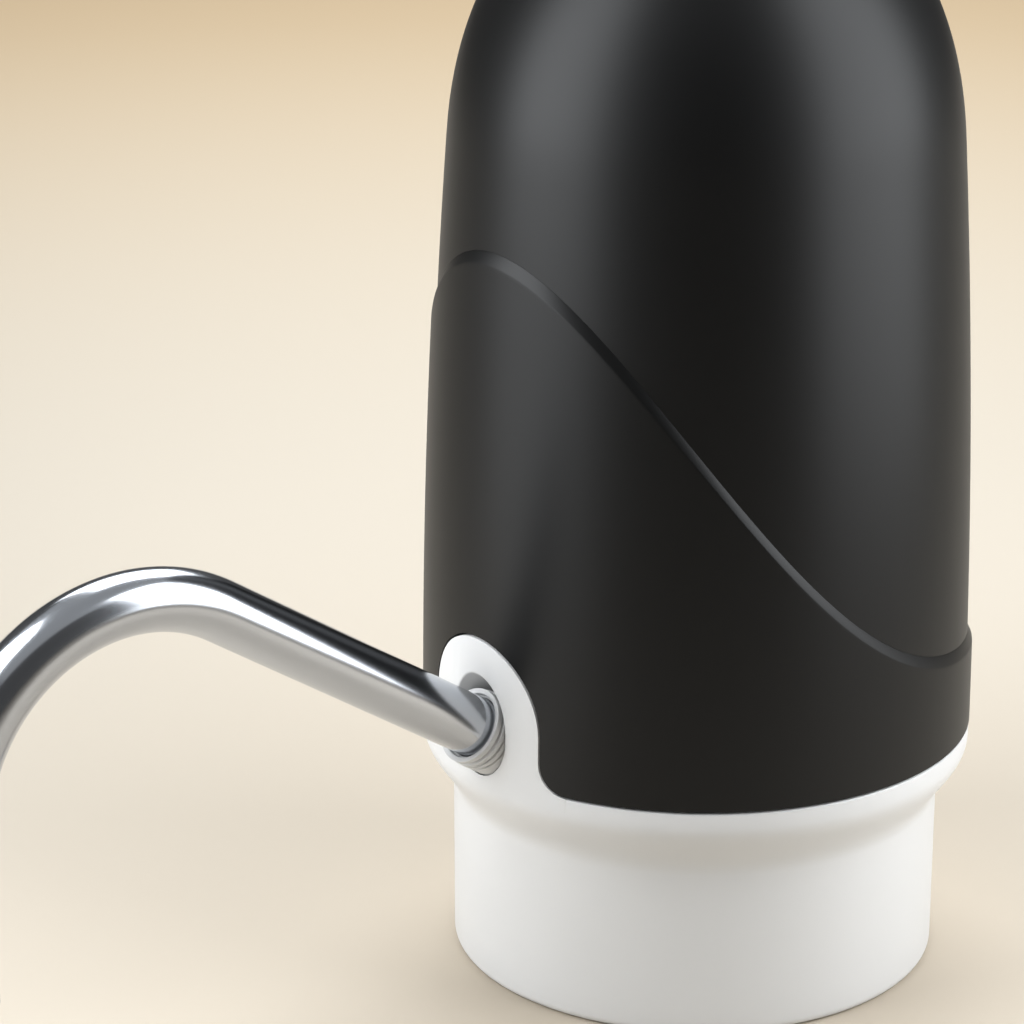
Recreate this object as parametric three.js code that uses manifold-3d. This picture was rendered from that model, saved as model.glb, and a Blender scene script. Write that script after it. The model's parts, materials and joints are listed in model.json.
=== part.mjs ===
// An electric pump for a large water bottle, in millimetres, +Z up.
// The origin is the centre of the white collar's bottom rim, the place that sits over the bottle's mouth.
// The steel spout points to -Y and the charging port looks to +Y.
import * as THREE from 'three';
import { mergeVertices } from 'three/addons/utils/BufferGeometryUtils.js';
import Module from 'manifold-3d';

const wasm = await Module();
wasm.setup();

// How round each family of pieces is made: the number of sides of its circles.
const sides = { shell: 48, drum: 24, round: 20, small: 12, screw: 8, wire: 8 };
const arcSteps = { tongue: 8, well: 12, port: 3 };

// Clearances that all pieces share.
const fit = {
  gap: 0.3, // between faces that touch on the real pump
  running: 0.06, // round a shaft that turns
  overrun: 1, // how far a cut runs past the face that it opens
};

// The black sleeve with the wave-shaped upper edge.
const sleeve = {
  bottom: 33.85,
  radius: 37.5,
  wall: 1.5,
  taperSpan: 80,
  taperSlope: 0.276,
  taperCurve: 2.722,
  step: 0.66, // how far it stands proud of the cover above it
  lip: 1.1, // height of the slanted top edge
  waveMean: 64.74,
  waveTilt: 28.01,
  waveSecond: 9.98,
  waveThird: 1.27,
  waveFourth: -0.77,
  levels: 5,
  roomLevels: 2,
};

// The black cover: a straight wall that closes in a dome.
const cover = {
  wall: 2.4,
  domeStart: 114.02,
  domePower: 2.25,
  landHeight: 149,
  landWidth: 2.17, // of the flat ring round the button's hole
  landThickness: 2,
  wallLevels: 4,
  bossRadius: 3,
  bossHeight: 11.7,
  webThickness: 2.2,
  webBite: 0.6, // how far a web reaches into the wall
};
const domeShares = [0.22, 0.44, 0.62, 0.78, 0.9];

// The white base: collar, shoulder, deck, spigot and the tongue round the spout.
const collar = { setBack: 4.2, wall: 2.7, rimRound: 1.2, rimSteps: 2 }; // set back from the sleeve
const shoulder = { inset: 0.1, height: 8.5, landHeight: 2.05, steps: 5 };
const deck = { underside: 22, thickness: 2.4 };
const spigot = { wall: 1.5, height: 6.45 };
const tongue = {
  inset: 0.15, // from the sleeve's radius
  halfWidth: 10.9,
  crownRise: 1.6, // of its round top's centre over the spout's axis at the wall
  flare: 4,
  footDepth: 2.55,
  wall: 4.2,
};
const well = { room: 1.35, lift: 1.1, depth: 7, bossWall: 1.85 }; // room is round the tube

// The bent steel spout. Its axis crosses the wall above the sleeve's lower edge, at the tilt given here.
const spout = {
  wallRise: 5.55,
  tilt: THREE.MathUtils.degToRad(32.9),
  bend: THREE.MathUtils.degToRad(122.9),
  radius: 4,
  wall: 1,
  straight: 46.7,
  bendRadius: 24.25,
  bendSteps: 16,
  tail: 22,
  insert: 11,
};
const ferrule = {
  seatGap: 0.1,
  outerEnd: 0.9,
  innerEnd: 7.4,
  chamfer: 0.25,
  mouthFlare: 0.35,
  mouthDepth: 0.5,
  grooveAt: 0.7,
  grooveHalf: 0.22,
  grooveDepth: 0.3,
};
const oRing = { clearance: 0.155, first: 8.5, pitch: 1.6, sectionSides: 6, count: 2 };
const socket = { wall: 1.5, chamber: 3, floor: 1.4, barbReach: 9.4, barbInset: 1.5 };

// Hoses and the stubs that they push on to.
const hose = {
  outer: 2.9,
  inner: 2.2,
  stub: 1.9,
  stubBore: 1.2,
  inletSteps: 12,
  outletSteps: 18,
  pullShare: 0.6,
};
const nipple = {
  tip: 4,
  radius: 3.8,
  barb: 0.35,
  barbPitch: 3.2,
  barbs: 3,
  bore: 2.4,
  flangeRadius: 8,
  flange: 2.6,
  neck: 3.3,
  top: 30,
};
const gasket = {
  wall: 2.3,
  bottom: 2.5,
  flange: 4.4,
  flangeRadius: 19,
  lip: 0.6,
  lipHeight: 1.6,
  lipPitch: 7,
  lips: 2,
};

// The moulded frame that carries the cell, the motor and the main board.
const frame = {
  front: 13.4,
  thickness: 2,
  top: 94,
  waist: 53,
  left: 21,
  right: 22,
  legLeft: 9,
  legRight: 16,
  footDepth: 7,
  footHeight: 3.4,
  footScrewX: 10.5,
  footScrewInset: 3.6,
  standoffRadius: 2.6,
  wireSlot: 2.4,
};
const cell = {
  x: -16.5,
  y: -2,
  radius: 9.2,
  length: 65,
  bottom: 41,
  capRadius: 3,
  capHeight: 0.9,
  shoulderRound: 0.8,
};
const cradle = { wall: 1.4, floor: 2, belowCell: 6, openAbove: 2, webHalf: 4, webBottom: 45 };
const tab = { width: 6, thickness: 0.4, bottomReach: 11, topReach: 6 };

// The small diaphragm pump, built up along the motor's axis.
const pump = { x: 11.5, y: -0.5, radius: 13.2, bottom: 50, head: 6, nozzleOffset: 4.5, nozzleReach: 6 };
const valvePlate = { thickness: 2.4, portRadius: 1.6 };
const diaphragm = { thickness: 1.6, cups: 3, cupRadius: 2.6, cupHeight: 2, cupCircle: 5 };
const drive = { height: 12, screwWall: 4, floor: 2 };
const wobble = { radius: 7.6, thickness: 1.6, pinRadius: 0.9, pinHeight: 2.6 };
const eccentric = { radius: 4.2, height: 4.8, pocketRadius: 1.6, flatCut: 1.4 };
const pumpScrew = { circle: 11.2, shank: 1, head: 1.8, headHeight: 1.4, length: 17 };
const pumpScrewAngles = [45, 135, 225, 315].map(THREE.MathUtils.degToRad);
const motor = {
  radius: 12.2,
  wall: 0.8,
  height: 28,
  bossRadius: 3.2,
  bossHeight: 1.4,
  capHeight: 3,
  capInset: 0.3,
  magnetWall: 2.2,
  magnetInset: 3,
  rotorRadius: 8.2,
  rotorInset: 5,
  shaftRadius: 1,
  shaftBelow: 5,
  shaftAbove: 1.6,
  terminalX: 5,
  terminalWidth: 2,
  terminalThickness: 0.6,
  terminalHeight: 3,
};
const saddle = { bottom: 84, half: 17.2, reach: 4, strapWall: 1.2, strapInset: 2, ear: 3.6, earDepth: 2 };
const strapScrew = { shank: 0.9, head: 1.5, headHeight: 1.1, length: 6 };

// The main board with its charging port.
const board = {
  inset: 9.3, // of its front from the sleeve's radius
  thickness: 1.6,
  half: 12.5,
  bottom: 48,
  top: 88,
  screwHeight: [66, 82],
  screwX: 0,
};
const chip = { width: 6, depth: 1.6, height: 5, x: -5, z: 74, coilRadius: 2.6, coilDepth: 2.6, coilX: 6 };
const boardScrew = { shank: 1, head: 1.9, headHeight: 1.2, length: 7 };
const usb = {
  height: 56,
  half: 3.75,
  halfHeight: 1.3,
  depth: 5.6,
  wall: 0.3,
  mouthDepth: 4.6,
  blade: 0.7,
  bladeHalf: 2.6,
  bladeInset: 1.15,
};
const port = { holeMargin: 0.5, recessHalf: 5.7, recessHalfHeight: 3.7, recessDepth: 0.8, corner: 1.2 };

// The power button under the crown of the dome.
const button = { radius: 10, rise: 1.2, crown: 0.7, sink: 2.4, crownSteps: 4, stem: 2, travel: 0.8 };
const trim = { flangeWidth: 1.8, flangeHeight: 0.6, skirt: 0.5, skirtDepth: 3.8 };
const lightRing = { wall: 1, notchHalf: 1.4, notchHeight: 1.2 };
const buttonBoard = {
  drop: 12.5, // of its underside from the cover's land
  thickness: 1.6,
  rim: 3,
  bossRadius: 2.4,
  bossOutset: 3.1, // of a boss's axis from the button's hole
  screwLength: 6,
};
const tact = { half: 3, height: 3.5, wellRadius: 2, plunger: 1.75, plungerLength: 3.2, wellFloor: 0.9 };
const led = { length: 2, width: 1.2, height: 0.9 };

// The long screws that close the case from below.
const caseScrew = {
  inset: 7.9, // of its axis from the sleeve's radius
  pillar: 3,
  shank: 1.1,
  pilot: 1.2,
  clearance: 1.5,
  head: 2.3,
  headHeight: 1.7,
  seatDepth: 10,
  length: 19,
};
const caseScrewAngles = [35, 145, 215, 325].map(THREE.MathUtils.degToRad);
const frameScrew = { shank: 1.1, clearance: 1.4, head: 2.3, headHeight: 1.6, length: 5.4 };
const crossRecess = { arm: 1.3, width: 0.5, depth: 0.8 };

// The insulated leads. Each leaves straight, and comes down on the main board's front.
const lead = {
  radius: 0.8,
  cableRadius: 1,
  steps: 10,
  leave: 9,
  motorLeaveShare: 0.31, // of the room under the button's board
  cableLeaveShare: 0.35, // of the way down to the main board
  arriveBack: 8,
  arriveUp: 24,
  arriveDown: 5,
};
const padX = { cell: -8, button: -2.5, motorMinus: 3.2, motorPlus: 7.5 };
const padHeight = { upper: 85, lower: 52 };
const cableStart = { x: -7, y: 12 };

// Sizes that follow from the ones above.
const collarRadius = sleeve.radius - collar.setBack;
const shoulderRadius = sleeve.radius - shoulder.inset;
const tongueRadius = sleeve.radius - tongue.inset;
const caseScrewCircle = sleeve.radius - caseScrew.inset;
const boardFront = sleeve.radius - board.inset;
const innerRadius = collarRadius - collar.wall;
const deckTop = deck.underside + deck.thickness;
const seatHeight = sleeve.bottom - fit.gap;
const spigotTop = seatHeight + spigot.height;
const caseBossTop = spigotTop + fit.gap + cover.bossHeight;
const caseScrewSeat = spigotTop - caseScrew.seatDepth;
const wallHeight = sleeve.bottom + spout.wallRise;
const crownHeight = wallHeight + tongue.crownRise;
const tongueFoot = seatHeight - tongue.footDepth;
const wellRadius = spout.radius + well.room;
const skirtOuter = (z) => sleeveRadius(z) - sleeve.wall - fit.gap;
const skirtInner = sleeve.radius - sleeve.step - cover.wall;
const spigotRadius = skirtInner - fit.gap;
const wallPoint = [0, -sleeve.radius, wallHeight];
const valveBottom = pump.bottom + pump.head + fit.gap;
const diaphragmBottom = valveBottom + valvePlate.thickness + fit.gap;
const driveBottom = diaphragmBottom + diaphragm.thickness + fit.gap;
const motorBottom = driveBottom + drive.height + fit.gap;
const motorTop = motorBottom + motor.height;
const cellTop = cell.bottom + cell.length;
const cradleTop = cellTop - cradle.belowCell;
const terminalTop = motorTop + fit.gap + motor.capHeight + motor.terminalHeight;
const ringInner = button.radius + fit.gap;
const ringOuter = ringInner + lightRing.wall;
const trimInner = ringOuter + fit.gap;
const trimOuter = trimInner + trim.skirt;
const holeRadius = trimOuter + fit.gap;
const bossCircle = holeRadius + buttonBoard.bossOutset;
const buttonBoardBottom = cover.landHeight - buttonBoard.drop;
const buttonBoardTop = buttonBoardBottom + buttonBoard.thickness;
const plungerBottom = buttonBoardTop + fit.gap + tact.wellFloor + fit.gap + button.travel;
const plungerTop = plungerBottom + tact.plungerLength;
const frameBack = frame.front + frame.thickness;
const socketOuter = wellRadius + socket.wall;
const socketEnd = spout.insert + socket.chamber + socket.floor;

// How far the dome would rise without its flat land: at the land it has closed in to the land's radius.
const landRoundness = (holeRadius + cover.landWidth) / (sleeveRadius(cover.landHeight) - sleeve.step);
const landRiseShare = Math.pow(1 - Math.pow(landRoundness, cover.domePower), 1 / cover.domePower);
const domeRise = (cover.landHeight - cover.domeStart) / landRiseShare;

const looks = {
  blackPlastic: { color: 0x232325, roughness: 0.45, metalness: 0 },
  whitePlastic: { color: 0xe8e8e6, roughness: 0.4, metalness: 0 },
  innerPlastic: { color: 0xb9bbba, roughness: 0.6, metalness: 0 },
  silicone: { color: 0xdcdcd8, roughness: 0.55, metalness: 0 },
  rubber: { color: 0x2a2a2a, roughness: 0.8, metalness: 0 },
  steel: { color: 0xc2c1bd, roughness: 0.2, metalness: 1 },
  zinc: { color: 0x9c9ea0, roughness: 0.35, metalness: 1 },
  brass: { color: 0xb08d4a, roughness: 0.35, metalness: 1 },
  circuitGreen: { color: 0x1f5a3a, roughness: 0.5, metalness: 0 },
  cellWrap: { color: 0x2f6fa8, roughness: 0.4, metalness: 0 },
  redLead: { color: 0xa3201c, roughness: 0.5, metalness: 0 },
  blackLead: { color: 0x1b1b1b, roughness: 0.5, metalness: 0 },
  clearLight: { color: 0xdfe8ef, roughness: 0.25, metalness: 0 },
};

// The sleeve's outer radius at a height: it narrows a little, and faster towards the top.
function sleeveRadius(z) {
  const t = (z - sleeve.bottom) / sleeve.taperSpan;
  return sleeve.radius - sleeve.taperSlope * t - sleeve.taperCurve * t * t;
}

// The height of the wave at an angle round Z, counted from the spout.
function waveHeight(angle) {
  const first = sleeve.waveTilt * Math.cos(angle);
  const second = sleeve.waveSecond * Math.cos(2 * angle);
  const third = sleeve.waveThird * Math.cos(3 * angle);
  const fourth = sleeve.waveFourth * Math.cos(4 * angle);
  return sleeve.waveMean + first + second + third + fourth;
}

// The cover's radius at a height, on its outside or a wall's thickness further in.
function coverRadius(z, inset) {
  const rise = Math.max(0, z - cover.domeStart) / (domeRise - inset);
  const roundness = Math.pow(1 - Math.pow(Math.min(1, rise), cover.domePower), 1 / cover.domePower);
  return (sleeveRadius(z) - sleeve.step - inset) * roundness;
}

// Evenly spaced values from one to another, both included.
function spread(from, to, steps) {
  return Array.from({ length: steps + 1 }, (_, i) => from + ((to - from) * i) / steps);
}

// A closed solid as manifold-3d wants it: shared corners merged, and no triangle without an area.
function toSolid(geometry) {
  const bare = geometry.clone();
  bare.deleteAttribute('normal');
  bare.deleteAttribute('uv');
  const merged = mergeVertices(bare);
  const corners = [];
  for (let i = 0; i < merged.index.count; i += 3) {
    const [a, b, c] = [merged.index.getX(i), merged.index.getX(i + 1), merged.index.getX(i + 2)];
    if (a !== b && b !== c && c !== a) corners.push(a, b, c);
  }
  const vertProperties = merged.attributes.position.array;
  return new wasm.Manifold(new wasm.Mesh({ numProp: 3, vertProperties, triVerts: new Uint32Array(corners) }));
}

function toGeometry(solid) {
  const mesh = solid.getMesh();
  const geometry = new THREE.BufferGeometry();
  geometry.setAttribute('position', new THREE.BufferAttribute(mesh.vertProperties, 3));
  geometry.setIndex(new THREE.BufferAttribute(mesh.triVerts, 1));
  return geometry;
}

function join(first, ...others) {
  return toGeometry(others.reduce((solid, other) => solid.add(toSolid(other)), toSolid(first)));
}

function cut(first, ...others) {
  return toGeometry(others.reduce((solid, other) => solid.subtract(toSolid(other)), toSolid(first)));
}

function overlapOf(first, second) {
  return toGeometry(toSolid(first).intersect(toSolid(second)));
}

// A profile of [radius, height] pairs turned about Z. It starts and ends on the axis.
function turned(profile, sideCount) {
  const points = profile.map(([radius, z]) => new THREE.Vector2(radius, z));
  return new THREE.LatheGeometry(points, sideCount).rotateX(Math.PI / 2);
}

// The same for a ring, whose profile closes on itself.
function turnedRing(profile, sideCount) {
  return turned([...profile, profile[0]], sideCount);
}

// A plain tube between two heights.
function tube(outer, inner, bottom, top, sideCount) {
  return turnedRing([[inner, bottom], [outer, bottom], [outer, top], [inner, top]], sideCount);
}

// A plain disc or rod between two heights.
function rod(radius, bottom, top, sideCount) {
  return turned([[0, bottom], [radius, bottom], [radius, top], [0, top]], sideCount);
}

// A rod that cuts right through what lies between two heights.
function drill(radius, bottom, top, sideCount) {
  return rod(radius, bottom - fit.overrun, top + fit.overrun, sideCount);
}

// A block between two corners.
function block([x0, y0, z0], [x1, y1, z1]) {
  const geometry = new THREE.BoxGeometry(x1 - x0, y1 - y0, z1 - z0);
  return geometry.translate((x0 + x1) / 2, (y0 + y1) / 2, (z0 + z1) / 2);
}

// Turns a shape made along Z so that it runs along +Y or +X.
const alongY = (geometry) => geometry.rotateX(-Math.PI / 2);
const alongX = (geometry) => geometry.rotateY(Math.PI / 2);

// A place on a circle round Z, at an angle from +X.
const onCircle = (radius, angle) => [radius * Math.cos(angle), radius * Math.sin(angle)];

// A surface through closed loops of points, where the last loop meets the first again.
function loopSkin(loops) {
  const count = loops[0].length;
  const positions = loops.flat().flatMap((point) => [point.x, point.y, point.z]);
  const index = [];
  loops.forEach((loop, i) => {
    const next = (i + 1) % loops.length;
    for (let j = 0; j < count; j += 1) {
      const k = (j + 1) % count;
      const [a, b, c, d] = [i * count + j, i * count + k, next * count + k, next * count + j];
      index.push(a, c, b, a, d, c);
    }
  });
  const geometry = new THREE.BufferGeometry();
  geometry.setAttribute('position', new THREE.Float32BufferAttribute(positions, 3));
  geometry.setIndex(index);
  return geometry;
}

// A band round the body from a flat bottom up to the wave.
// inside and outside give its radius at a height, and lip slants the outer top edge.
function waveBand({ inside, outside, bottom, topGap, lip, levels }) {
  const loops = [];
  for (let i = 0; i < sides.shell; i += 1) {
    const angle = (i / sides.shell) * Math.PI * 2;
    const top = waveHeight(angle) + topGap;
    const at = (radius, z) => new THREE.Vector3(radius * Math.sin(angle), -radius * Math.cos(angle), z);
    const loop = spread(bottom, top - lip, levels).map((z) => at(outside(z), z));
    if (lip > 0) loop.push(at(outside(top) - sleeve.step, top));
    loops.push([...loop, ...spread(top, bottom, levels).map((z) => at(inside(z), z))]);
  }
  return loopSkin(loops);
}

// The stations of a smooth curve: a point with two directions square to the curve.
function stationsAlong(curve, steps) {
  const frames = curve.computeFrenetFrames(steps);
  const stations = [];
  for (let i = 0; i <= steps; i += 1) {
    stations.push({ point: curve.getPointAt(i / steps), u: frames.normals[i], v: frames.binormals[i] });
  }
  return stations;
}

// A pipe with a bore, through a row of stations.
function pipe(stations, outer, inner, sideCount) {
  const ringAt = (station, radius) => {
    const ring = [];
    for (let i = 0; i < sideCount; i += 1) {
      const angle = (i / sideCount) * Math.PI * 2;
      const point = station.point.clone();
      point.addScaledVector(station.u, radius * Math.cos(angle));
      point.addScaledVector(station.v, -radius * Math.sin(angle));
      ring.push(point);
    }
    return ring;
  };
  const outside = stations.map((station) => ringAt(station, outer));
  const inside = stations.map((station) => ringAt(station, inner)).reverse();
  return loopSkin([...outside, ...inside]);
}

// A solid insulated lead along a curve.
function wire(curve, radius) {
  const section = new THREE.Shape();
  for (let i = 0; i < sides.wire; i += 1) {
    const angle = (i / sides.wire) * Math.PI * 2;
    const [x, y] = onCircle(radius, angle);
    if (i === 0) section.moveTo(x, y);
    else section.lineTo(x, y);
  }
  return new THREE.ExtrudeGeometry(section, { steps: lead.steps, extrudePath: curve });
}

// A smooth curve that leaves one point and reaches another along given offsets.
function ease(start, leave, arrive, end) {
  const first = new THREE.Vector3(...start);
  const last = new THREE.Vector3(...end);
  const firstPull = first.clone().add(new THREE.Vector3(...leave));
  const lastPull = last.clone().add(new THREE.Vector3(...arrive));
  return new THREE.CubicBezierCurve3(first, firstPull, lastPull, last);
}

// A pan-head screw that points to +Z, with its head's seat at zero.
function screw(size, length, recessed) {
  const tip = length - size.shank;
  const profile = [[0, -size.headHeight], [size.head, -size.headHeight], [size.head, 0]];
  profile.push([size.shank, 0], [size.shank, tip], [0, length]);
  const body = turned(profile, sides.screw);
  if (!recessed) return body;
  const { arm, width, depth } = crossRecess;
  const [low, high] = [-size.headHeight - fit.overrun, depth - size.headHeight];
  const across = block([-arm, -width / 2, low], [arm, width / 2, high]);
  const along = block([-width / 2, -arm, low], [width / 2, arm, high]);
  return cut(body, join(across, along));
}

const assembly = new THREE.Group();
const spoutFrame = new THREE.Group();
spoutFrame.position.set(...wallPoint);
spoutFrame.rotation.x = Math.PI / 2 - spout.tilt;
assembly.add(spoutFrame);

function add(name, geometry, look, parent = assembly) {
  const mesh = new THREE.Mesh(geometry, new THREE.MeshStandardMaterial(looks[look]));
  mesh.name = name;
  parent.add(mesh);
  return mesh;
}

// The front outline of the tongue, grown by a gap where it is cut from the shells.
function tongueOutline(grow, bottom) {
  const half = tongue.halfWidth + grow;
  const flare = tongue.flare - grow;
  const flareX = tongue.halfWidth + tongue.flare;
  const flareTop = seatHeight + tongue.flare;
  const outline = new THREE.Shape();
  outline.moveTo(flareX, bottom);
  outline.lineTo(flareX, flareTop - flare);
  outline.absarc(flareX, flareTop, flare, -Math.PI / 2, -Math.PI, true);
  outline.absarc(0, crownHeight, half, 0, Math.PI, false);
  outline.absarc(-flareX, flareTop, flare, 0, -Math.PI / 2, true);
  outline.lineTo(-flareX, bottom);
  return outline;
}

// That outline as a block that runs from the middle of the pump out past its front.
function tonguePrism(grow, bottom) {
  const options = { depth: sleeve.radius + fit.overrun, bevelEnabled: false, curveSegments: arcSteps.tongue };
  return new THREE.ExtrudeGeometry(tongueOutline(grow, bottom), options).rotateX(Math.PI / 2);
}

// Puts a shape made in the spout's frame where it lies on the body.
const fromSpoutFrame = (geometry) => geometry.rotateX(spoutFrame.rotation.x).translate(...wallPoint);

// An oval rod along the spout's axis, in the body's own frame.
function ovalAlongSpout(radius, from, to) {
  const outline = new THREE.Shape();
  outline.absarc(0, 0, radius, Math.PI, Math.PI * 2, false);
  outline.absarc(0, well.lift, radius, 0, Math.PI, false);
  const options = { depth: to - from, bevelEnabled: false, curveSegments: arcSteps.well };
  return fromSpoutFrame(new THREE.ExtrudeGeometry(outline, options).translate(0, 0, from));
}

// Puts a copy of a shape at each case screw.
function atCaseScrews(make) {
  return caseScrewAngles.map((angle) => {
    return make(angle).translate(...onCircle(caseScrewCircle, angle), 0);
  });
}

function makeBaseHousing() {
  const profile = [[0, deck.underside], [innerRadius, deck.underside], [innerRadius, 0]];
  for (let i = 0; i <= collar.rimSteps; i += 1) {
    const angle = (i / collar.rimSteps) * (Math.PI / 2);
    const radius = collarRadius - collar.rimRound * (1 - Math.sin(angle));
    profile.push([radius, collar.rimRound * (1 - Math.cos(angle))]);
  }
  for (let i = 0; i <= shoulder.steps; i += 1) {
    const share = i / shoulder.steps;
    const swell = (1 - Math.cos(Math.PI * share)) / 2;
    const z = seatHeight - shoulder.landHeight - shoulder.height * (1 - share);
    profile.push([collarRadius + (shoulderRadius - collarRadius) * swell, z]);
  }
  const spigotInner = spigotRadius - spigot.wall;
  profile.push([shoulderRadius, seatHeight], [spigotRadius, seatHeight], [spigotRadius, spigotTop]);
  profile.push([spigotInner, spigotTop], [spigotInner, deckTop], [0, deckTop]);
  const shell = turned(profile, sides.shell);

  const tongueTop = crownHeight + tongue.halfWidth + fit.overrun;
  const tongueRing = tube(tongueRadius, tongueRadius - tongue.wall, tongueFoot, tongueTop, sides.shell);
  const tongueWall = overlapOf(tongueRing, tonguePrism(0, tongueFoot));
  const bossOval = ovalAlongSpout(wellRadius + well.bossWall, -well.depth, sleeve.radius - spigotInner);
  const boss = overlapOf(bossOval, rod(tongueRadius - tongue.wall / 2, deckTop, tongueTop, sides.shell));
  const pillars = atCaseScrews(() => rod(caseScrew.pillar, deckTop, spigotTop, sides.small));
  const body = join(shell, tongueWall, boss, ...pillars);

  const wellCut = ovalAlongSpout(wellRadius, -well.depth - fit.overrun, sleeve.radius);
  const socketRoom = rod(socketOuter + fit.gap, -socketEnd - fit.gap, -well.depth, sides.round);
  const headBore = atCaseScrews(() => {
    return rod(caseScrew.head + fit.gap, deck.underside - fit.overrun, caseScrewSeat, sides.small);
  });
  const shankBore = atCaseScrews(() => {
    return rod(caseScrew.clearance, deck.underside, spigotTop + fit.overrun, sides.screw);
  });
  const nippleHole = drill(nipple.neck + fit.gap, deck.underside, deckTop, sides.small);
  const frameHoles = frameScrewPlaces().map(([x, y]) => {
    return drill(frameScrew.clearance, deck.underside, deckTop, sides.screw).translate(x, y, 0);
  });
  return cut(body, wellCut, fromSpoutFrame(socketRoom), nippleHole, ...headBore, ...shankBore, ...frameHoles);
}

function makeWaveSleeve() {
  const band = waveBand({
    inside: (z) => sleeveRadius(z) - sleeve.wall,
    outside: sleeveRadius,
    bottom: sleeve.bottom,
    topGap: 0,
    lip: sleeve.lip,
    levels: sleeve.levels,
  });
  return cut(band, tonguePrism(fit.gap, sleeve.bottom - fit.overrun));
}

// A block with round corners that opens the back of the cover for the charging port.
function portCut(half, halfHeight, corner, from) {
  const outline = new THREE.Shape();
  outline.absarc(half - corner, halfHeight - corner, corner, 0, Math.PI / 2, false);
  outline.absarc(corner - half, halfHeight - corner, corner, Math.PI / 2, Math.PI, false);
  outline.absarc(corner - half, corner - halfHeight, corner, Math.PI, Math.PI * 1.5, false);
  outline.absarc(half - corner, corner - halfHeight, corner, Math.PI * 1.5, Math.PI * 2, false);
  const depth = sleeve.radius + fit.overrun - from;
  const options = { depth, bevelEnabled: false, curveSegments: arcSteps.port };
  return alongY(new THREE.ExtrudeGeometry(outline, options)).translate(0, from, usb.height);
}

function makeTopCover() {
  const heights = spread(sleeve.bottom, cover.domeStart, cover.wallLevels);
  const domeHeights = (top) => domeShares.map((share) => cover.domeStart + (top - cover.domeStart) * share);
  const outerHeights = [...heights, ...domeHeights(cover.landHeight), cover.landHeight];
  const outside = outerHeights.map((z) => [coverRadius(z, 0), z]);
  const innerTop = cover.landHeight - cover.landThickness;
  const inside = [...heights, ...domeHeights(innerTop), innerTop].map((z) => [coverRadius(z, cover.wall), z]);
  const hole = [[holeRadius, cover.landHeight], [holeRadius, innerTop]];
  const shell = turnedRing([...outside, ...hole, ...inside.reverse()], sides.shell);

  const sleeveRoom = waveBand({
    inside: skirtOuter,
    outside: () => sleeve.radius + fit.overrun,
    bottom: sleeve.bottom - fit.overrun,
    topGap: fit.gap,
    lip: 0,
    levels: sleeve.roomLevels,
  });
  const usbHalf = usb.half + port.holeMargin;
  const usbHalfHeight = usb.halfHeight + port.holeMargin;
  const recessFloor = coverRadius(usb.height, 0) - port.recessDepth;
  const usbHole = portCut(usbHalf, usbHalfHeight, port.holeMargin, boardFront);
  const usbRecess = portCut(port.recessHalf, port.recessHalfHeight, port.corner, recessFloor);
  const tongueRoom = tonguePrism(fit.gap, sleeve.bottom - fit.overrun);
  const trimmed = cut(shell, sleeveRoom, tongueRoom, usbHole, usbRecess);

  const screwBosses = atCaseScrews((angle) => {
    const bottom = spigotTop + fit.gap;
    const post = rod(cover.bossRadius, bottom, caseBossTop, sides.small);
    const reach = skirtInner - caseScrewCircle + cover.webBite;
    const web = block([0, -cover.webThickness / 2, bottom], [reach, cover.webThickness / 2, caseBossTop]);
    const boss = join(post, web.rotateZ(angle));
    return cut(boss, drill(caseScrew.pilot, bottom, caseBossTop, sides.screw));
  });
  const buttonBosses = buttonScrewPlaces().map(([x, y]) => {
    const bottom = buttonBoardTop + fit.gap;
    const post = rod(buttonBoard.bossRadius, bottom, innerTop, sides.small);
    const pilotTop = bottom + buttonBoard.screwLength;
    const pilot = rod(boardScrew.shank + fit.running, bottom - fit.overrun, pilotTop, sides.screw);
    return cut(post, pilot).translate(x, y, 0);
  });
  const outer = turned([[0, sleeve.bottom], ...outside, [0, cover.landHeight]], sides.shell);
  return join(trimmed, ...screwBosses, ...buttonBosses.map((post) => overlapOf(post, outer)));
}

function frameScrewPlaces() {
  const y = frameBack - frame.footDepth + frame.footScrewInset;
  return [[-frame.footScrewX, y], [frame.footScrewX, y]];
}

function buttonScrewPlaces() {
  return [[0, -bossCircle], [0, bossCircle]];
}

function makeButton() {
  const bottom = cover.landHeight - button.sink;
  const edge = cover.landHeight + button.rise;
  const profile = [[0, bottom], [button.radius, bottom]];
  for (const share of spread(1, 0, button.crownSteps)) {
    profile.push([button.radius * share, edge + button.crown * (1 - share * share)]);
  }
  const stem = rod(button.stem, plungerTop + fit.gap, bottom + fit.overrun, sides.small);
  return join(turned(profile, sides.drum), stem);
}

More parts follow.
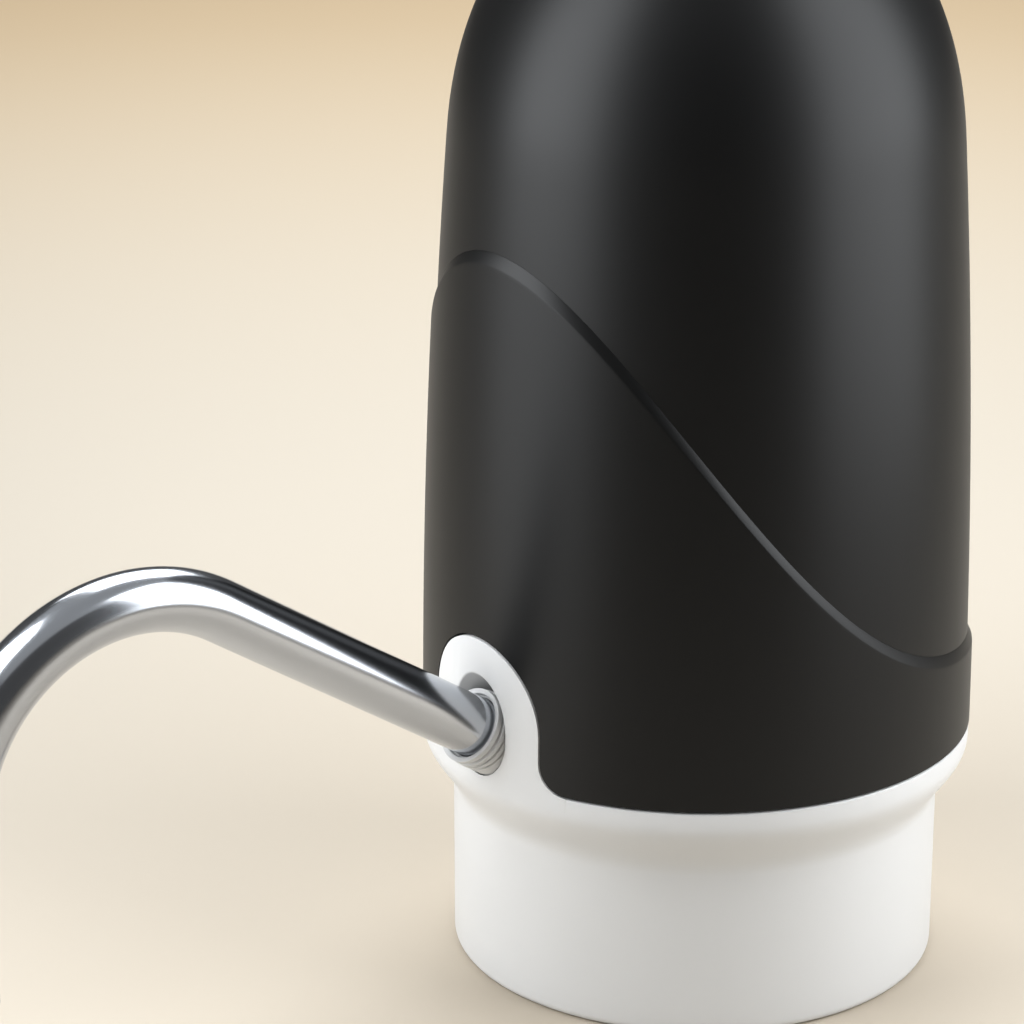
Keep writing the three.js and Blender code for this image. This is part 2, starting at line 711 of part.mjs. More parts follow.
function addButtonGroup() {
  add('power_button', makeButton(), 'blackPlastic');

  const flangeRadius = trimOuter + trim.flangeWidth;
  const flangeBottom = cover.landHeight + fit.gap;
  const flangeTop = flangeBottom + trim.flangeHeight;
  const skirtBottom = flangeBottom - trim.skirtDepth;
  const trimProfile = [[trimInner, skirtBottom], [trimOuter, skirtBottom], [trimOuter, flangeBottom]];
  trimProfile.push([flangeRadius, flangeBottom], [flangeRadius, flangeTop], [trimInner, flangeTop]);
  add('button_trim_ring', turnedRing(trimProfile, sides.drum), 'steel');

  const pipeBottom = buttonBoardTop + fit.gap;
  const lightPipe = tube(ringOuter, ringInner, pipeBottom, flangeTop - trim.flangeHeight / 2, sides.drum);
  const notchReach = ringOuter + fit.overrun;
  const notchLow = [-notchReach, -lightRing.notchHalf, pipeBottom - fit.overrun];
  const notch = block(notchLow, [notchReach, lightRing.notchHalf, pipeBottom + lightRing.notchHeight]);
  add('button_light_ring', cut(lightPipe, notch), 'clearLight');

  const plate = rod(bossCircle + buttonBoard.rim, buttonBoardBottom, buttonBoardTop, sides.drum);
  const plateHoles = buttonScrewPlaces().map(([x, y]) => {
    const hole = drill(boardScrew.shank + fit.gap, buttonBoardBottom, buttonBoardTop, sides.screw);
    return hole.translate(x, y, 0);
  });
  add('button_board', cut(plate, ...plateHoles), 'circuitGreen');

  const tactBottom = buttonBoardTop + fit.gap;
  const tactTop = tactBottom + tact.height;
  const tactBody = block([-tact.half, -tact.half, tactBottom], [tact.half, tact.half, tactTop]);
  const tactWell = rod(tact.wellRadius, tactBottom + tact.wellFloor, tactTop + fit.overrun, sides.small);
  add('tact_switch', cut(tactBody, tactWell), 'rubber');
  add('switch_plunger', rod(tact.plunger, plungerBottom, plungerTop, sides.small), 'whitePlastic');

  const ledCentre = (ringOuter + ringInner) / 2;
  for (const [name, x] of [['led_left', -ledCentre], ['led_right', ledCentre]]) {
    const low = [x - led.width / 2, -led.length / 2, pipeBottom];
    add(name, block(low, [x + led.width / 2, led.length / 2, pipeBottom + led.height]), 'clearLight');
  }
  buttonScrewPlaces().forEach(([x, y], i) => {
    const mesh = add(`button_board_screw_${i + 1}`, screw(boardScrew, boardScrew.length, false), 'zinc');
    mesh.position.set(x, y, buttonBoardBottom - fit.gap);
  });
}

// The spout lies in the plane of its own frame: Z runs out along the straight, and Y is its upper side.
function makeSpoutTube() {
  const u = new THREE.Vector3(1, 0, 0);
  const stations = [];
  const station = (y, z, turn) => {
    const v = new THREE.Vector3(0, Math.cos(turn), Math.sin(turn));
    stations.push({ point: new THREE.Vector3(0, y, z), u, v });
  };
  station(0, -spout.insert, 0);
  for (let i = 0; i <= spout.bendSteps; i += 1) {
    const turn = (i / spout.bendSteps) * spout.bend;
    const drop = spout.bendRadius * (1 - Math.cos(turn));
    station(-drop, spout.straight + spout.bendRadius * Math.sin(turn), turn);
  }
  const last = stations.at(-1).point;
  const [down, out] = [Math.sin(spout.bend) * spout.tail, Math.cos(spout.bend) * spout.tail];
  station(last.y - down, last.z + out, spout.bend);
  return pipe(stations, spout.radius, spout.radius - spout.wall, sides.small);
}

function makeFerrule() {
  const inner = spout.radius + ferrule.seatGap;
  const radius = wellRadius - fit.gap;
  const { outerEnd, innerEnd, chamfer, grooveAt, grooveHalf, grooveDepth } = ferrule;
  const profile = [[inner, -innerEnd], [radius - chamfer, -innerEnd], [radius, chamfer - innerEnd]];
  profile.push([radius, -grooveAt - grooveHalf], [radius - grooveDepth, -grooveAt]);
  profile.push([radius, grooveHalf - grooveAt], [radius, outerEnd - chamfer], [radius - chamfer, outerEnd]);
  profile.push([inner + ferrule.mouthFlare, outerEnd], [inner, outerEnd - ferrule.mouthDepth]);
  return turnedRing(profile, sides.round);
}

function makeOutletSocket() {
  const mouth = -well.depth - fit.gap;
  const chamberEnd = -spout.insert - socket.chamber;
  const cup = rod(socketOuter, -socketEnd, mouth, sides.round);
  const barbAt = chamberEnd + socket.barbInset;
  const barb = alongX(rod(hose.stub, 0, socket.barbReach, sides.small)).translate(0, 0, barbAt);
  const hollow = rod(wellRadius, chamberEnd, mouth + fit.overrun, sides.round);
  const bore = alongX(rod(hose.stubBore, 0, socket.barbReach + fit.overrun, sides.screw));
  return cut(join(cup, barb), hollow, bore.translate(0, 0, barbAt));
}

function addSpoutGroup() {
  add('spout_tube', makeSpoutTube(), 'steel', spoutFrame);
  add('spout_ferrule', makeFerrule(), 'silicone', spoutFrame);
  const halfRoom = well.room / 2;
  for (let i = 0; i < oRing.count; i += 1) {
    const [middle, section] = [spout.radius + halfRoom, halfRoom - oRing.clearance];
    const ring = new THREE.TorusGeometry(middle, section, oRing.sectionSides, sides.round);
    add(`spout_o_ring_${i + 1}`, ring, 'rubber', spoutFrame).position.z = -oRing.first - oRing.pitch * i;
  }
  add('outlet_socket', makeOutletSocket(), 'innerPlastic', spoutFrame);
}

function makeGasket() {
  const outer = innerRadius - fit.gap;
  const inner = outer - gasket.wall;
  const top = deck.underside - fit.gap;
  const profile = [[outer, gasket.bottom], [outer, top], [gasket.flangeRadius, top]];
  profile.push([gasket.flangeRadius, top - gasket.flange], [inner, top - gasket.flange]);
  for (let i = gasket.lips - 1; i >= 0; i -= 1) {
    const z = gasket.bottom + gasket.lipPitch * i;
    profile.push([inner, z + gasket.lipHeight], [inner - gasket.lip, z]);
    if (i > 0) profile.push([inner, z]);
  }
  return turnedRing(profile, sides.drum);
}

function makeNipple() {
  const flangeTop = deck.underside - fit.gap;
  const flangeBottom = flangeTop - nipple.flange;
  const profile = [[nipple.bore, nipple.tip]];
  for (let i = 0; i < nipple.barbs; i += 1) {
    const z = nipple.tip + nipple.barbPitch * i;
    profile.push([nipple.radius - nipple.barb, z], [nipple.radius + nipple.barb, z + nipple.barbPitch]);
  }
  profile.push([nipple.radius, nipple.tip + nipple.barbPitch * nipple.barbs], [nipple.radius, flangeBottom]);
  profile.push([nipple.flangeRadius, flangeBottom], [nipple.flangeRadius, flangeTop]);
  profile.push([nipple.neck, flangeTop], [nipple.neck, deckTop + fit.gap]);
  profile.push([hose.stub, deckTop + fit.gap], [hose.stub, nipple.top]);
  profile.push([hose.stubBore, nipple.top], [hose.stubBore, flangeBottom], [nipple.bore, flangeBottom]);
  return turnedRing(profile, sides.small);
}

function addCollarParts() {
  add('neck_gasket', makeGasket(), 'silicone');
  add('inlet_nipple', makeNipple(), 'whitePlastic');
}

function makeFrame() {
  const legBottom = deckTop + fit.gap;
  const upper = block([-frame.left, frame.front, frame.waist], [frame.right, frameBack, frame.top]);
  const legTop = frame.waist + fit.overrun;
  const leg = block([-frame.legLeft, frame.front, legBottom], [frame.legRight, frameBack, legTop]);
  const footFront = frameBack - frame.footDepth;
  const footHalf = frame.legRight;
  const foot = block([-footHalf, footFront, legBottom], [footHalf, frameBack, legBottom + frame.footHeight]);

  const cupOuter = cell.radius + fit.gap + cradle.wall;
  const floorTop = cell.bottom - tab.thickness - fit.gap * 2;
  const aboveCup = cradleTop + fit.overrun;
  const intoFrame = frame.front + fit.overrun;
  const cup = rod(cupOuter, floorTop - cradle.floor, cradleTop, sides.drum).translate(cell.x, cell.y, 0);
  const frontLow = [cell.x - cupOuter * 2, cell.y - cupOuter * 2, floorTop];
  const cupFront = block(frontLow, [cell.x + cupOuter * 2, cell.y + cradle.openAbove, aboveCup]);
  const webLow = [cell.x - cradle.webHalf, cell.y, cradle.webBottom];
  const web = block(webLow, [cell.x + cradle.webHalf, intoFrame, frame.top]);
  const cellRoom = rod(cell.radius + fit.gap, floorTop, cellTop, sides.drum).translate(cell.x, cell.y, 0);
  const slotHalf = tab.width / 2 + fit.gap;
  const slotLow = [cell.x - slotHalf, cell.y, floorTop];
  const tabSlot = block(slotLow, [cell.x + slotHalf, frame.front, floorTop + frame.wireSlot]);

  const saddleLow = [pump.x - saddle.half, saddle.reach, saddle.bottom];
  const saddleBlock = block(saddleLow, [pump.x + saddle.half, intoFrame, frame.top]);
  const motorRoom = drill(motor.radius + fit.gap, saddle.bottom, frame.top, sides.drum);
  const standoffs = board.screwHeight.map((z) => {
    const post = rod(frame.standoffRadius, 0, boardFront - fit.gap - frame.front, sides.small);
    return alongY(post).translate(board.screwX, frame.front, z);
  });
  const pilots = board.screwHeight.map((z) => {
    const hole = rod(boardScrew.shank + fit.running, 0, boardScrew.length, sides.screw);
    return alongY(hole).translate(board.screwX, boardFront - boardScrew.length, z);
  });
  const strapPilots = strapScrewPlaces().map(([x, z]) => {
    const hole = rod(strapScrew.shank + fit.running, 0, strapScrew.length + fit.overrun, sides.screw);
    return alongY(hole).translate(x, saddle.reach - fit.overrun, z);
  });
  const footPilots = frameScrewPlaces().map(([x, y]) => {
    const pilot = drill(frameScrew.shank + fit.running, legBottom, legBottom + frame.footHeight, sides.screw);
    return pilot.translate(x, y, 0);
  });
  const body = join(upper, leg, foot, cup, web, saddleBlock, ...standoffs);
  const rooms = [cupFront, cellRoom, tabSlot, motorRoom.translate(pump.x, pump.y, 0)];
  return cut(body, ...rooms, ...pilots, ...strapPilots, ...footPilots);
}

function strapScrewPlaces() {
  const z = (saddle.bottom + frame.top) / 2;
  const offset = saddle.half - saddle.ear / 2;
  return [[pump.x - offset, z], [pump.x + offset, z]];
}

function makeMotorStrap() {
  const inner = motor.radius + fit.gap;
  const [bottom, top] = [saddle.bottom + saddle.strapInset, frame.top - saddle.strapInset];
  const ring = tube(inner + saddle.strapWall, inner, bottom, top, sides.drum).translate(pump.x, pump.y, 0);
  const back = saddle.reach - fit.gap;
  const half = saddle.half;
  const frontLow = [pump.x - half * 2, -half * 2, bottom - fit.overrun];
  const front = block(frontLow, [pump.x + half * 2, back, top + fit.overrun]);
  const band = overlapOf(ring, front);
  const ears = [-1, 1].map((side) => {
    const [near, far] = [inner, half].map((reach) => pump.x + side * reach);
    return block([Math.min(near, far), back - saddle.earDepth, bottom], [Math.max(near, far), back, top]);
  });
  const holes = strapScrewPlaces().map(([x, z]) => {
    const hole = rod(strapScrew.shank + fit.running, 0, saddle.earDepth + fit.overrun * 2, sides.screw);
    return alongY(hole).translate(x, back - saddle.earDepth - fit.overrun, z);
  });
  return cut(join(band, ...ears), ...holes);
}

function addFrameGroup() {
  add('inner_frame', makeFrame(), 'innerPlastic');
  frameScrewPlaces().forEach(([x, y], i) => {
    const mesh = add(`frame_screw_${i + 1}`, screw(frameScrew, frameScrew.length, true), 'zinc');
    mesh.position.set(x, y, deck.underside - fit.gap);
  });
  add('motor_strap', makeMotorStrap(), 'zinc');
  strapScrewPlaces().forEach(([x, z], i) => {
    const mesh = add(`strap_screw_${i + 1}`, alongY(screw(strapScrew, strapScrew.length, false)), 'zinc');
    mesh.position.set(x, saddle.reach - fit.gap * 2 - saddle.earDepth, z);
  });
  caseScrewAngles.forEach((angle, i) => {
    const mesh = add(`case_screw_${i + 1}`, screw(caseScrew, caseScrew.length, true), 'zinc');
    mesh.position.set(...onCircle(caseScrewCircle, angle), caseScrewSeat - fit.gap);
  });
}

function addCellGroup() {
  const shoulderZ = cellTop - cell.capHeight;
  const edge = cell.radius - cell.shoulderRound;
  const profile = [[0, cell.bottom], [cell.radius, cell.bottom]];
  profile.push([cell.radius, shoulderZ - cell.shoulderRound]);
  profile.push([edge, shoulderZ], [cell.capRadius, shoulderZ], [cell.capRadius, cellTop], [0, cellTop]);
  add('battery_cell', turned(profile, sides.drum), 'cellWrap').position.set(cell.x, cell.y, 0);

  const half = tab.width / 2;
  const lowTop = cell.bottom - fit.gap;
  const lowCorner = [cell.x - half, cell.y - half, lowTop - tab.thickness];
  add('battery_tab_bottom', block(lowCorner, [cell.x + half, tab.bottomReach, lowTop]), 'zinc');
  const highBottom = cellTop + fit.gap;
  const highCorner = [cell.x - half, cell.y - half, highBottom];
  const highTab = block(highCorner, [cell.x + half, tab.topReach, highBottom + tab.thickness]);
  add('battery_tab_top', highTab, 'zinc');
}

// The holes for the pump's own screws, round its axis.
function pumpHoles(bottom, top, radius) {
  return pumpScrewAngles.map((angle) => {
    return drill(radius, bottom, top, sides.screw).translate(...onCircle(pumpScrew.circle, angle), 0);
  });
}

function addPumpStack() {
  const stack = new THREE.Group();
  stack.position.set(pump.x, pump.y, 0);
  assembly.add(stack);
  const holeRadius = pumpScrew.shank + fit.gap;

  const headTop = pump.bottom + pump.head;
  const nozzleTip = pump.bottom - pump.nozzleReach;
  const nozzles = [-pump.nozzleOffset, pump.nozzleOffset];
  const stubs = nozzles.map((x) => {
    return rod(hose.stub, nozzleTip, pump.bottom + fit.overrun, sides.small).translate(x, 0, 0);
  });
  const bores = nozzles.map((x) => drill(hose.stubBore, nozzleTip, headTop, sides.screw).translate(x, 0, 0));
  const headBody = join(rod(pump.radius, pump.bottom, headTop, sides.drum), ...stubs);
  const headHoles = pumpHoles(pump.bottom, headTop, holeRadius);
  add('pump_head', cut(headBody, ...bores, ...headHoles), 'innerPlastic', stack);

  const valveTop = valveBottom + valvePlate.thickness;
  const ports = nozzles.map((x) => {
    return drill(valvePlate.portRadius, valveBottom, valveTop, sides.screw).translate(x, 0, 0);
  });
  const valveDisc = rod(pump.radius, valveBottom, valveTop, sides.drum);
  const valveHoles = pumpHoles(valveBottom, valveTop, holeRadius);
  add('valve_plate', cut(valveDisc, ...ports, ...valveHoles), 'whitePlastic', stack);

  const diaphragmTop = diaphragmBottom + diaphragm.thickness;
  const cups = Array.from({ length: diaphragm.cups }, (_, i) => {
    const angle = (i / diaphragm.cups) * Math.PI * 2;
    const cup = rod(diaphragm.cupRadius, diaphragmBottom, diaphragmTop + diaphragm.cupHeight, sides.small);
    return cup.translate(...onCircle(diaphragm.cupCircle, angle), 0);
  });
  const sheet = join(rod(pump.radius, diaphragmBottom, diaphragmTop, sides.drum), ...cups);
  const sheetHoles = pumpHoles(diaphragmBottom, diaphragmTop, holeRadius);
  add('pump_diaphragm', cut(sheet, ...sheetHoles), 'rubber', stack);

  const driveTop = driveBottom + drive.height;
  const housing = rod(pump.radius, driveBottom, driveTop, sides.drum);
  const cavityTop = driveTop - drive.floor;
  const cavity = rod(pump.radius - drive.screwWall, driveBottom - fit.overrun, cavityTop, sides.drum);
  const shaftHole = rod(motor.bossRadius + fit.gap, driveBottom, driveTop + fit.overrun, sides.small);
  const driveHoles = pumpHoles(driveBottom, driveTop, holeRadius - fit.gap + fit.running);
  add('pump_drive_housing', cut(housing, cavity, shaftHole, ...driveHoles), 'innerPlastic', stack);

  const wobbleBottom = diaphragmTop + diaphragm.cupHeight + fit.gap;
  const wobbleTop = wobbleBottom + wobble.thickness;
  const wobbleProfile = [[0, wobbleBottom], [wobble.radius, wobbleBottom], [wobble.radius, wobbleTop]];
  const pinTop = wobbleTop + wobble.pinHeight;
  wobbleProfile.push([wobble.pinRadius, wobbleTop], [wobble.pinRadius, pinTop], [0, pinTop]);
  add('wobble_plate', turned(wobbleProfile, sides.round), 'whitePlastic', stack);

  const hubTop = cavityTop - fit.gap;
  const hubBottom = hubTop - eccentric.height;
  const hub = rod(eccentric.radius, hubBottom, hubTop, sides.round);
  const pocket = rod(eccentric.pocketRadius, hubBottom - fit.overrun, pinTop + fit.gap, sides.small);
  const shaftBottom = motorBottom - motor.shaftBelow;
  const seatRadius = motor.shaftRadius + fit.running;
  const shaftSeat = rod(seatRadius, shaftBottom - fit.running, hubTop + fit.overrun, sides.small);
  const flatSide = eccentric.radius * 2;
  const flatLow = [eccentric.radius - eccentric.flatCut, -flatSide, hubBottom - fit.overrun];
  const flat = block(flatLow, [flatSide, flatSide, hubTop + fit.overrun]);
  add('eccentric', cut(hub, pocket, shaftSeat, flat), 'whitePlastic', stack);

  pumpScrewAngles.forEach((angle, i) => {
    const mesh = add(`pump_screw_${i + 1}`, screw(pumpScrew, pumpScrew.length, false), 'zinc', stack);
    mesh.position.set(...onCircle(pumpScrew.circle, angle), pump.bottom - fit.gap);
  });
  addMotor(stack, shaftBottom);
}

function addMotor(stack, shaftBottom) {
  const bore = motor.shaftRadius + fit.running;
  const innerWall = motor.radius - motor.wall;
  const frontInside = motorBottom + motor.wall;
  const boss = motorBottom - motor.bossHeight;
  const canProfile = [[bore, boss], [motor.bossRadius, boss], [motor.bossRadius, motorBottom]];
  canProfile.push([motor.radius, motorBottom], [motor.radius, motorTop]);
  canProfile.push([innerWall, motorTop], [innerWall, frontInside], [bore, frontInside]);
  add('motor_can', turnedRing(canProfile, sides.drum), 'steel', stack);

  const magnetOuter = innerWall - fit.gap;
  const magnetInner = magnetOuter - motor.magnetWall;
  const magnetTop = motorTop - motor.magnetInset;
  const magnets = tube(magnetOuter, magnetInner, motorBottom + motor.magnetInset, magnetTop, sides.round);
  add('motor_magnets', magnets, 'rubber', stack);

  const capBottom = motorTop + fit.gap;
  const capTop = capBottom + motor.capHeight;
  const cap = tube(motor.radius - motor.capInset, bore, capBottom, capTop, sides.drum);
  const halfWidth = motor.terminalWidth / 2;
  const terminals = [-motor.terminalX, motor.terminalX].map((x) => {
    const low = [x - halfWidth, -motor.terminalThickness / 2, capBottom];
    return block(low, [x + halfWidth, motor.terminalThickness / 2, capTop + motor.terminalHeight]);
  });
  add('motor_end_cap', join(cap, ...terminals), 'whitePlastic', stack);

  const rotorBottom = motorBottom + motor.rotorInset;
  const rotorTop = motorTop - motor.rotorInset;
  const shaftTop = capTop + motor.shaftAbove;
  const rotor = tube(motor.rotorRadius, bore, rotorBottom, rotorTop, sides.small);
  add('motor_rotor', rotor, 'brass', stack);
  add('motor_shaft', rod(motor.shaftRadius, shaftBottom, shaftTop, sides.small), 'steel', stack);
}

function addBoardGroup() {
  const back = boardFront + board.thickness;
  const plate = block([-board.half, boardFront, board.bottom], [board.half, back, board.top]);
  const chipLow = [chip.x - chip.width / 2, back - board.thickness / 2, chip.z - chip.height / 2];
  const chipBlock = block(chipLow, [chip.x + chip.width / 2, back + chip.depth, chip.z + chip.height / 2]);
  const coil = alongY(rod(chip.coilRadius, -board.thickness / 2, chip.coilDepth, sides.small));
  const holes = board.screwHeight.map((z) => {
    const hole = rod(boardScrew.shank + fit.gap, 0, board.thickness + fit.overrun * 2, sides.screw);
    return alongY(hole).translate(board.screwX, boardFront - fit.overrun, z);
  });
  const body = join(plate, chipBlock, coil.translate(chip.coilX, back, chip.z));
  add('main_board', cut(body, ...holes), 'circuitGreen');
  board.screwHeight.forEach((z, i) => {
    const geometry = alongY(screw(boardScrew, boardScrew.length - fit.overrun, false)).rotateZ(Math.PI);
    add(`main_board_screw_${i + 1}`, geometry, 'zinc').position.set(board.screwX, back + fit.gap, z);
  });

  const usbBack = back + fit.gap;
  const usbFront = usbBack + usb.depth;
  const shell = block([-usb.half, usbBack, -usb.halfHeight], [usb.half, usbFront, usb.halfHeight]);
  const mouthBack = usbFront - usb.mouthDepth;
  const [inHalf, inHeight] = [usb.half - usb.wall, usb.halfHeight - usb.wall];
  const mouth = block([-inHalf, mouthBack, -inHeight], [inHalf, usbFront + fit.overrun, inHeight]);
  const bladeTop = inHeight - usb.wall;
  const bladeEnd = usbFront - usb.bladeInset;
  const bladeLow = [-usb.bladeHalf, usbBack + usb.wall, bladeTop - usb.blade];
  const blade = block(bladeLow, [usb.bladeHalf, bladeEnd, bladeTop]);
  add('usb_socket', join(cut(shell, mouth), blade), 'zinc').position.z = usb.height;
}

// A hose runs straight over the stub at each end and eases across between them.
function hosePath(start, startTip, startPull, end, endTip, endPull) {
  const path = new THREE.CurvePath();
  const bend = ease(startTip, startPull, endPull, endTip);
  path.add(new THREE.LineCurve3(new THREE.Vector3(...start), bend.v0));
  path.add(bend);
  path.add(new THREE.LineCurve3(bend.v3, new THREE.Vector3(...end)));
  return path;
}

function addHose(name, path, steps) {
  add(name, pipe(stationsAlong(path, steps), hose.outer, hose.inner, sides.wire), 'silicone');
}

function addHoses() {
  const [inletX, outletX] = [pump.x - pump.nozzleOffset, pump.x + pump.nozzleOffset];
  const hoseTop = pump.bottom - fit.gap;
  const nozzleTip = pump.bottom - pump.nozzleReach - fit.gap;
  const rise = nozzleTip - nipple.top - fit.gap;
  const pull = rise * hose.pullShare;
  const inletStart = [0, 0, deckTop + fit.gap * 2];
  const inletTip = [0, 0, nipple.top + fit.gap];
  const inletEnd = [inletX, pump.y, hoseTop];
  const inletTop = [inletX, pump.y, nozzleTip];
  const inlet = hosePath(inletStart, inletTip, [0, 0, pull], inletEnd, inletTop, [0, 0, -pull]);
  addHose('inlet_hose', inlet, hose.inletSteps);

  const alongSpout = spout.insert + socket.chamber - socket.barbInset;
  const y = -sleeve.radius + alongSpout * Math.cos(spout.tilt);
  const z = wallHeight - alongSpout * Math.sin(spout.tilt);
  const outletStart = [socketOuter + fit.gap, y, z];
  const outletTip = [socket.barbReach + fit.gap, y, z];
  const outletEnd = [outletX, pump.y, hoseTop];
  const [sidePull, dropPull] = [outletX - outletTip[0], nozzleTip - z];
  const outletTop = [outletX, pump.y, nozzleTip];
  const outlet = hosePath(outletStart, outletTip, [sidePull, 0, 0], outletEnd, outletTop, [0, 0, -dropPull]);
  addHose('outlet_hose', outlet, hose.outletSteps);
}

function addLeads() {
  const padY = boardFront - fit.gap - lead.cableRadius;
  const fromAbove = [0, -lead.arriveBack, lead.arriveUp];
  const fromBelow = [0, -lead.arriveBack, -lead.arriveDown];
  const { radius, leave } = lead;
  const tabTopZ = cellTop + fit.gap + tab.thickness / 2;
  const tabBottomZ = cell.bottom - fit.gap - tab.thickness / 2;
  const upperPad = (x) => [x, padY, padHeight.upper];
  const cellPlusStart = [cell.x, tab.topReach + fit.gap, tabTopZ];
  const cellPlus = ease(cellPlusStart, [0, leave, 0], fromAbove, upperPad(padX.cell));
  add('battery_lead_red', wire(cellPlus, radius), 'redLead');
  const cellMinusStart = [cell.x, tab.bottomReach + fit.gap, tabBottomZ];
  const cellMinus = ease(cellMinusStart, [0, leave, 0], fromBelow, [padX.cell, padY, padHeight.lower]);
  add('battery_lead_black', wire(cellMinus, radius), 'blackLead');

  const motorLeadStart = terminalTop + fit.gap;
  const motorLeave = [0, 0, (buttonBoardBottom - terminalTop) * lead.motorLeaveShare];
  const plusStart = [pump.x + motor.terminalX, pump.y, motorLeadStart];
  const plus = ease(plusStart, motorLeave, fromAbove, upperPad(padX.motorPlus));
  add('motor_lead_red', wire(plus, radius), 'redLead');
  const minusStart = [pump.x - motor.terminalX, pump.y, motorLeadStart];
  const minus = ease(minusStart, motorLeave, fromAbove, upperPad(padX.motorMinus));
  add('motor_lead_black', wire(minus, radius), 'blackLead');

  const cableTop = [cableStart.x, cableStart.y, buttonBoardBottom - fit.gap];
  const cableLeave = [0, 0, (padHeight.upper - buttonBoardBottom) * lead.cableLeaveShare];
  const cable = ease(cableTop, cableLeave, fromAbove, upperPad(padX.button));
  add('button_cable', wire(cable, lead.cableRadius), 'whitePlastic');
}

add('base_housing', makeBaseHousing(), 'whitePlastic');
add('wave_sleeve', makeWaveSleeve(), 'blackPlastic');
add('top_cover', makeTopCover(), 'blackPlastic');
addButtonGroup();
addSpoutGroup();
addCollarParts();
addFrameGroup();
addCellGroup();
addPumpStack();
addBoardGroup();
addHoses();
addLeads();

export default assembly;
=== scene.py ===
"""An electric pump for a large water bottle: a black case on a white collar, with a bent steel spout.

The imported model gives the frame. Each outer piece is modelled again here, finer, in the place of its solid.
The inner pieces keep their solids and get their materials.
"""

import json
import math

import bpy
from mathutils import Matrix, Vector


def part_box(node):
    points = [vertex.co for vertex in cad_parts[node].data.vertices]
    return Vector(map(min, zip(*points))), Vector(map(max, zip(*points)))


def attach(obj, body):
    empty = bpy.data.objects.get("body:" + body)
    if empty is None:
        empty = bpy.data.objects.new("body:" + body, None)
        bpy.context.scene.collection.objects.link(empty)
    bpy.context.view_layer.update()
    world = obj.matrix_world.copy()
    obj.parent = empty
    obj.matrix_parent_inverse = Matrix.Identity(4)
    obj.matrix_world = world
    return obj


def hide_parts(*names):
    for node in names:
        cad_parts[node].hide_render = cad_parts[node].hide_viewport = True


MM = 0.001

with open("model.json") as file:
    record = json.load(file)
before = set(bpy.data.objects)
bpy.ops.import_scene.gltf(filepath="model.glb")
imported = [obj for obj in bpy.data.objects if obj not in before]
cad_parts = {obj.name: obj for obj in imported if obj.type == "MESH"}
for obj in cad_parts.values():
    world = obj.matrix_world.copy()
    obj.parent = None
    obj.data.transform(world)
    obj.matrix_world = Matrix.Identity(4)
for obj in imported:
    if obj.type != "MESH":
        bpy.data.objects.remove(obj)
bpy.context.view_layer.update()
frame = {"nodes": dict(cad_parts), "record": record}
nodes = frame["nodes"]

# The black case. At t spans above its bottom its radius is less by slope * t + curve * t * t.
sleeve_low, sleeve_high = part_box("wave_sleeve")
CASE_RADIUS = sleeve_high.x
CASE_BOTTOM = sleeve_low.z
TAPER_SPAN = 80 * MM
TAPER_SLOPE = 0.276 * MM
TAPER_CURVE = 2.722 * MM

# The wave that divides the sleeve from the cover: its mean height, then its swings with one to four crests.
# Rows within the half band of the mean height follow it in full.
WAVE = [64.74 * MM, 28.01 * MM, 9.98 * MM, 1.27 * MM, -0.77 * MM]
WAVE_MEAN = WAVE[0]
WAVE_HALF_BAND = 3 * MM

# The sleeve, and the step from its outside in to the cover's.
SLEEVE_WALL = 1.5 * MM
SLEEVE_STEP = 0.66 * MM

# The sleeve's bevelled lip, its rows as shares of its height and of the step, and the row below it.
SLEEVE_LIP = 1.5 * MM
LIP_ROWS = [(-0.08, 0), (0.08, 0.05), (1, 1)]
LIP_FOOT = 2 * MM

# The cover, the row above its foot, its dome, and the flat land round the button's hole.
COVER_WALL = 2.4 * MM
COVER_FOOT = 1.5 * MM
DOME_START = 114.02 * MM
DOME_POWER = 2.25
LAND_HEIGHT = 149 * MM
LAND_WIDTH = 2.17 * MM
LAND_WALL = 2 * MM
BUTTON_HOLE = 12.4 * MM

# The gap between pieces, and the hairline between the sleeve's edge and the cover.
GAP = 0.3 * MM
SEAM = 0.03 * MM

# The charging slot through the cover's wall, which looks to +Y, and how far from the axis its cut ends.
PORT_HEIGHT = 56 * MM
PORT_HALF = 4.25 * MM
PORT_HALF_HEIGHT = 1.8 * MM
PORT_CORNER = 0.5 * MM
PORT_CUT_END = 24 * MM

# The white base: the collar and its shoulder, the deck across it and the spigot inside the case.
COLLAR_RADIUS = 33.3 * MM
COLLAR_WALL = 2.7 * MM
COLLAR_BORE = COLLAR_RADIUS - COLLAR_WALL
RIM_ROUND = 1.2 * MM
DECK_UNDERSIDE = 22 * MM
DECK_TOP = 24.4 * MM
SHOULDER_START = 23 * MM
SHOULDER_END = 31.5 * MM
SHOULDER_RADIUS = 37.4 * MM
SPIGOT_TOP = 40 * MM
SPIGOT_WALL = 1.5 * MM

# The tongue of the base, round the spout's root.
TONGUE_RADIUS = 37.42 * MM
TONGUE_HALF = 10.9 * MM
TONGUE_CROWN = 41 * MM
TONGUE_FLARE = 4 * MM
TONGUE_FLARE_TOP = 37.55 * MM
TONGUE_FOOT = 31.5 * MM
TONGUE_WALL = 4.2 * MM

# The well in the tongue that the spout's bush sits in, and the boss behind it.
WELL_RADIUS = 5.35 * MM
WELL_LIFT = 1.1 * MM
WELL_DEPTH = 7 * MM
WELL_CUT_END = 8 * MM
WELL_MOUTH_REACH = 9 * MM
BOSS_WALL = 1.85 * MM
BOSS_END = 4 * MM
BOSS_SETBACK = 1.5 * MM

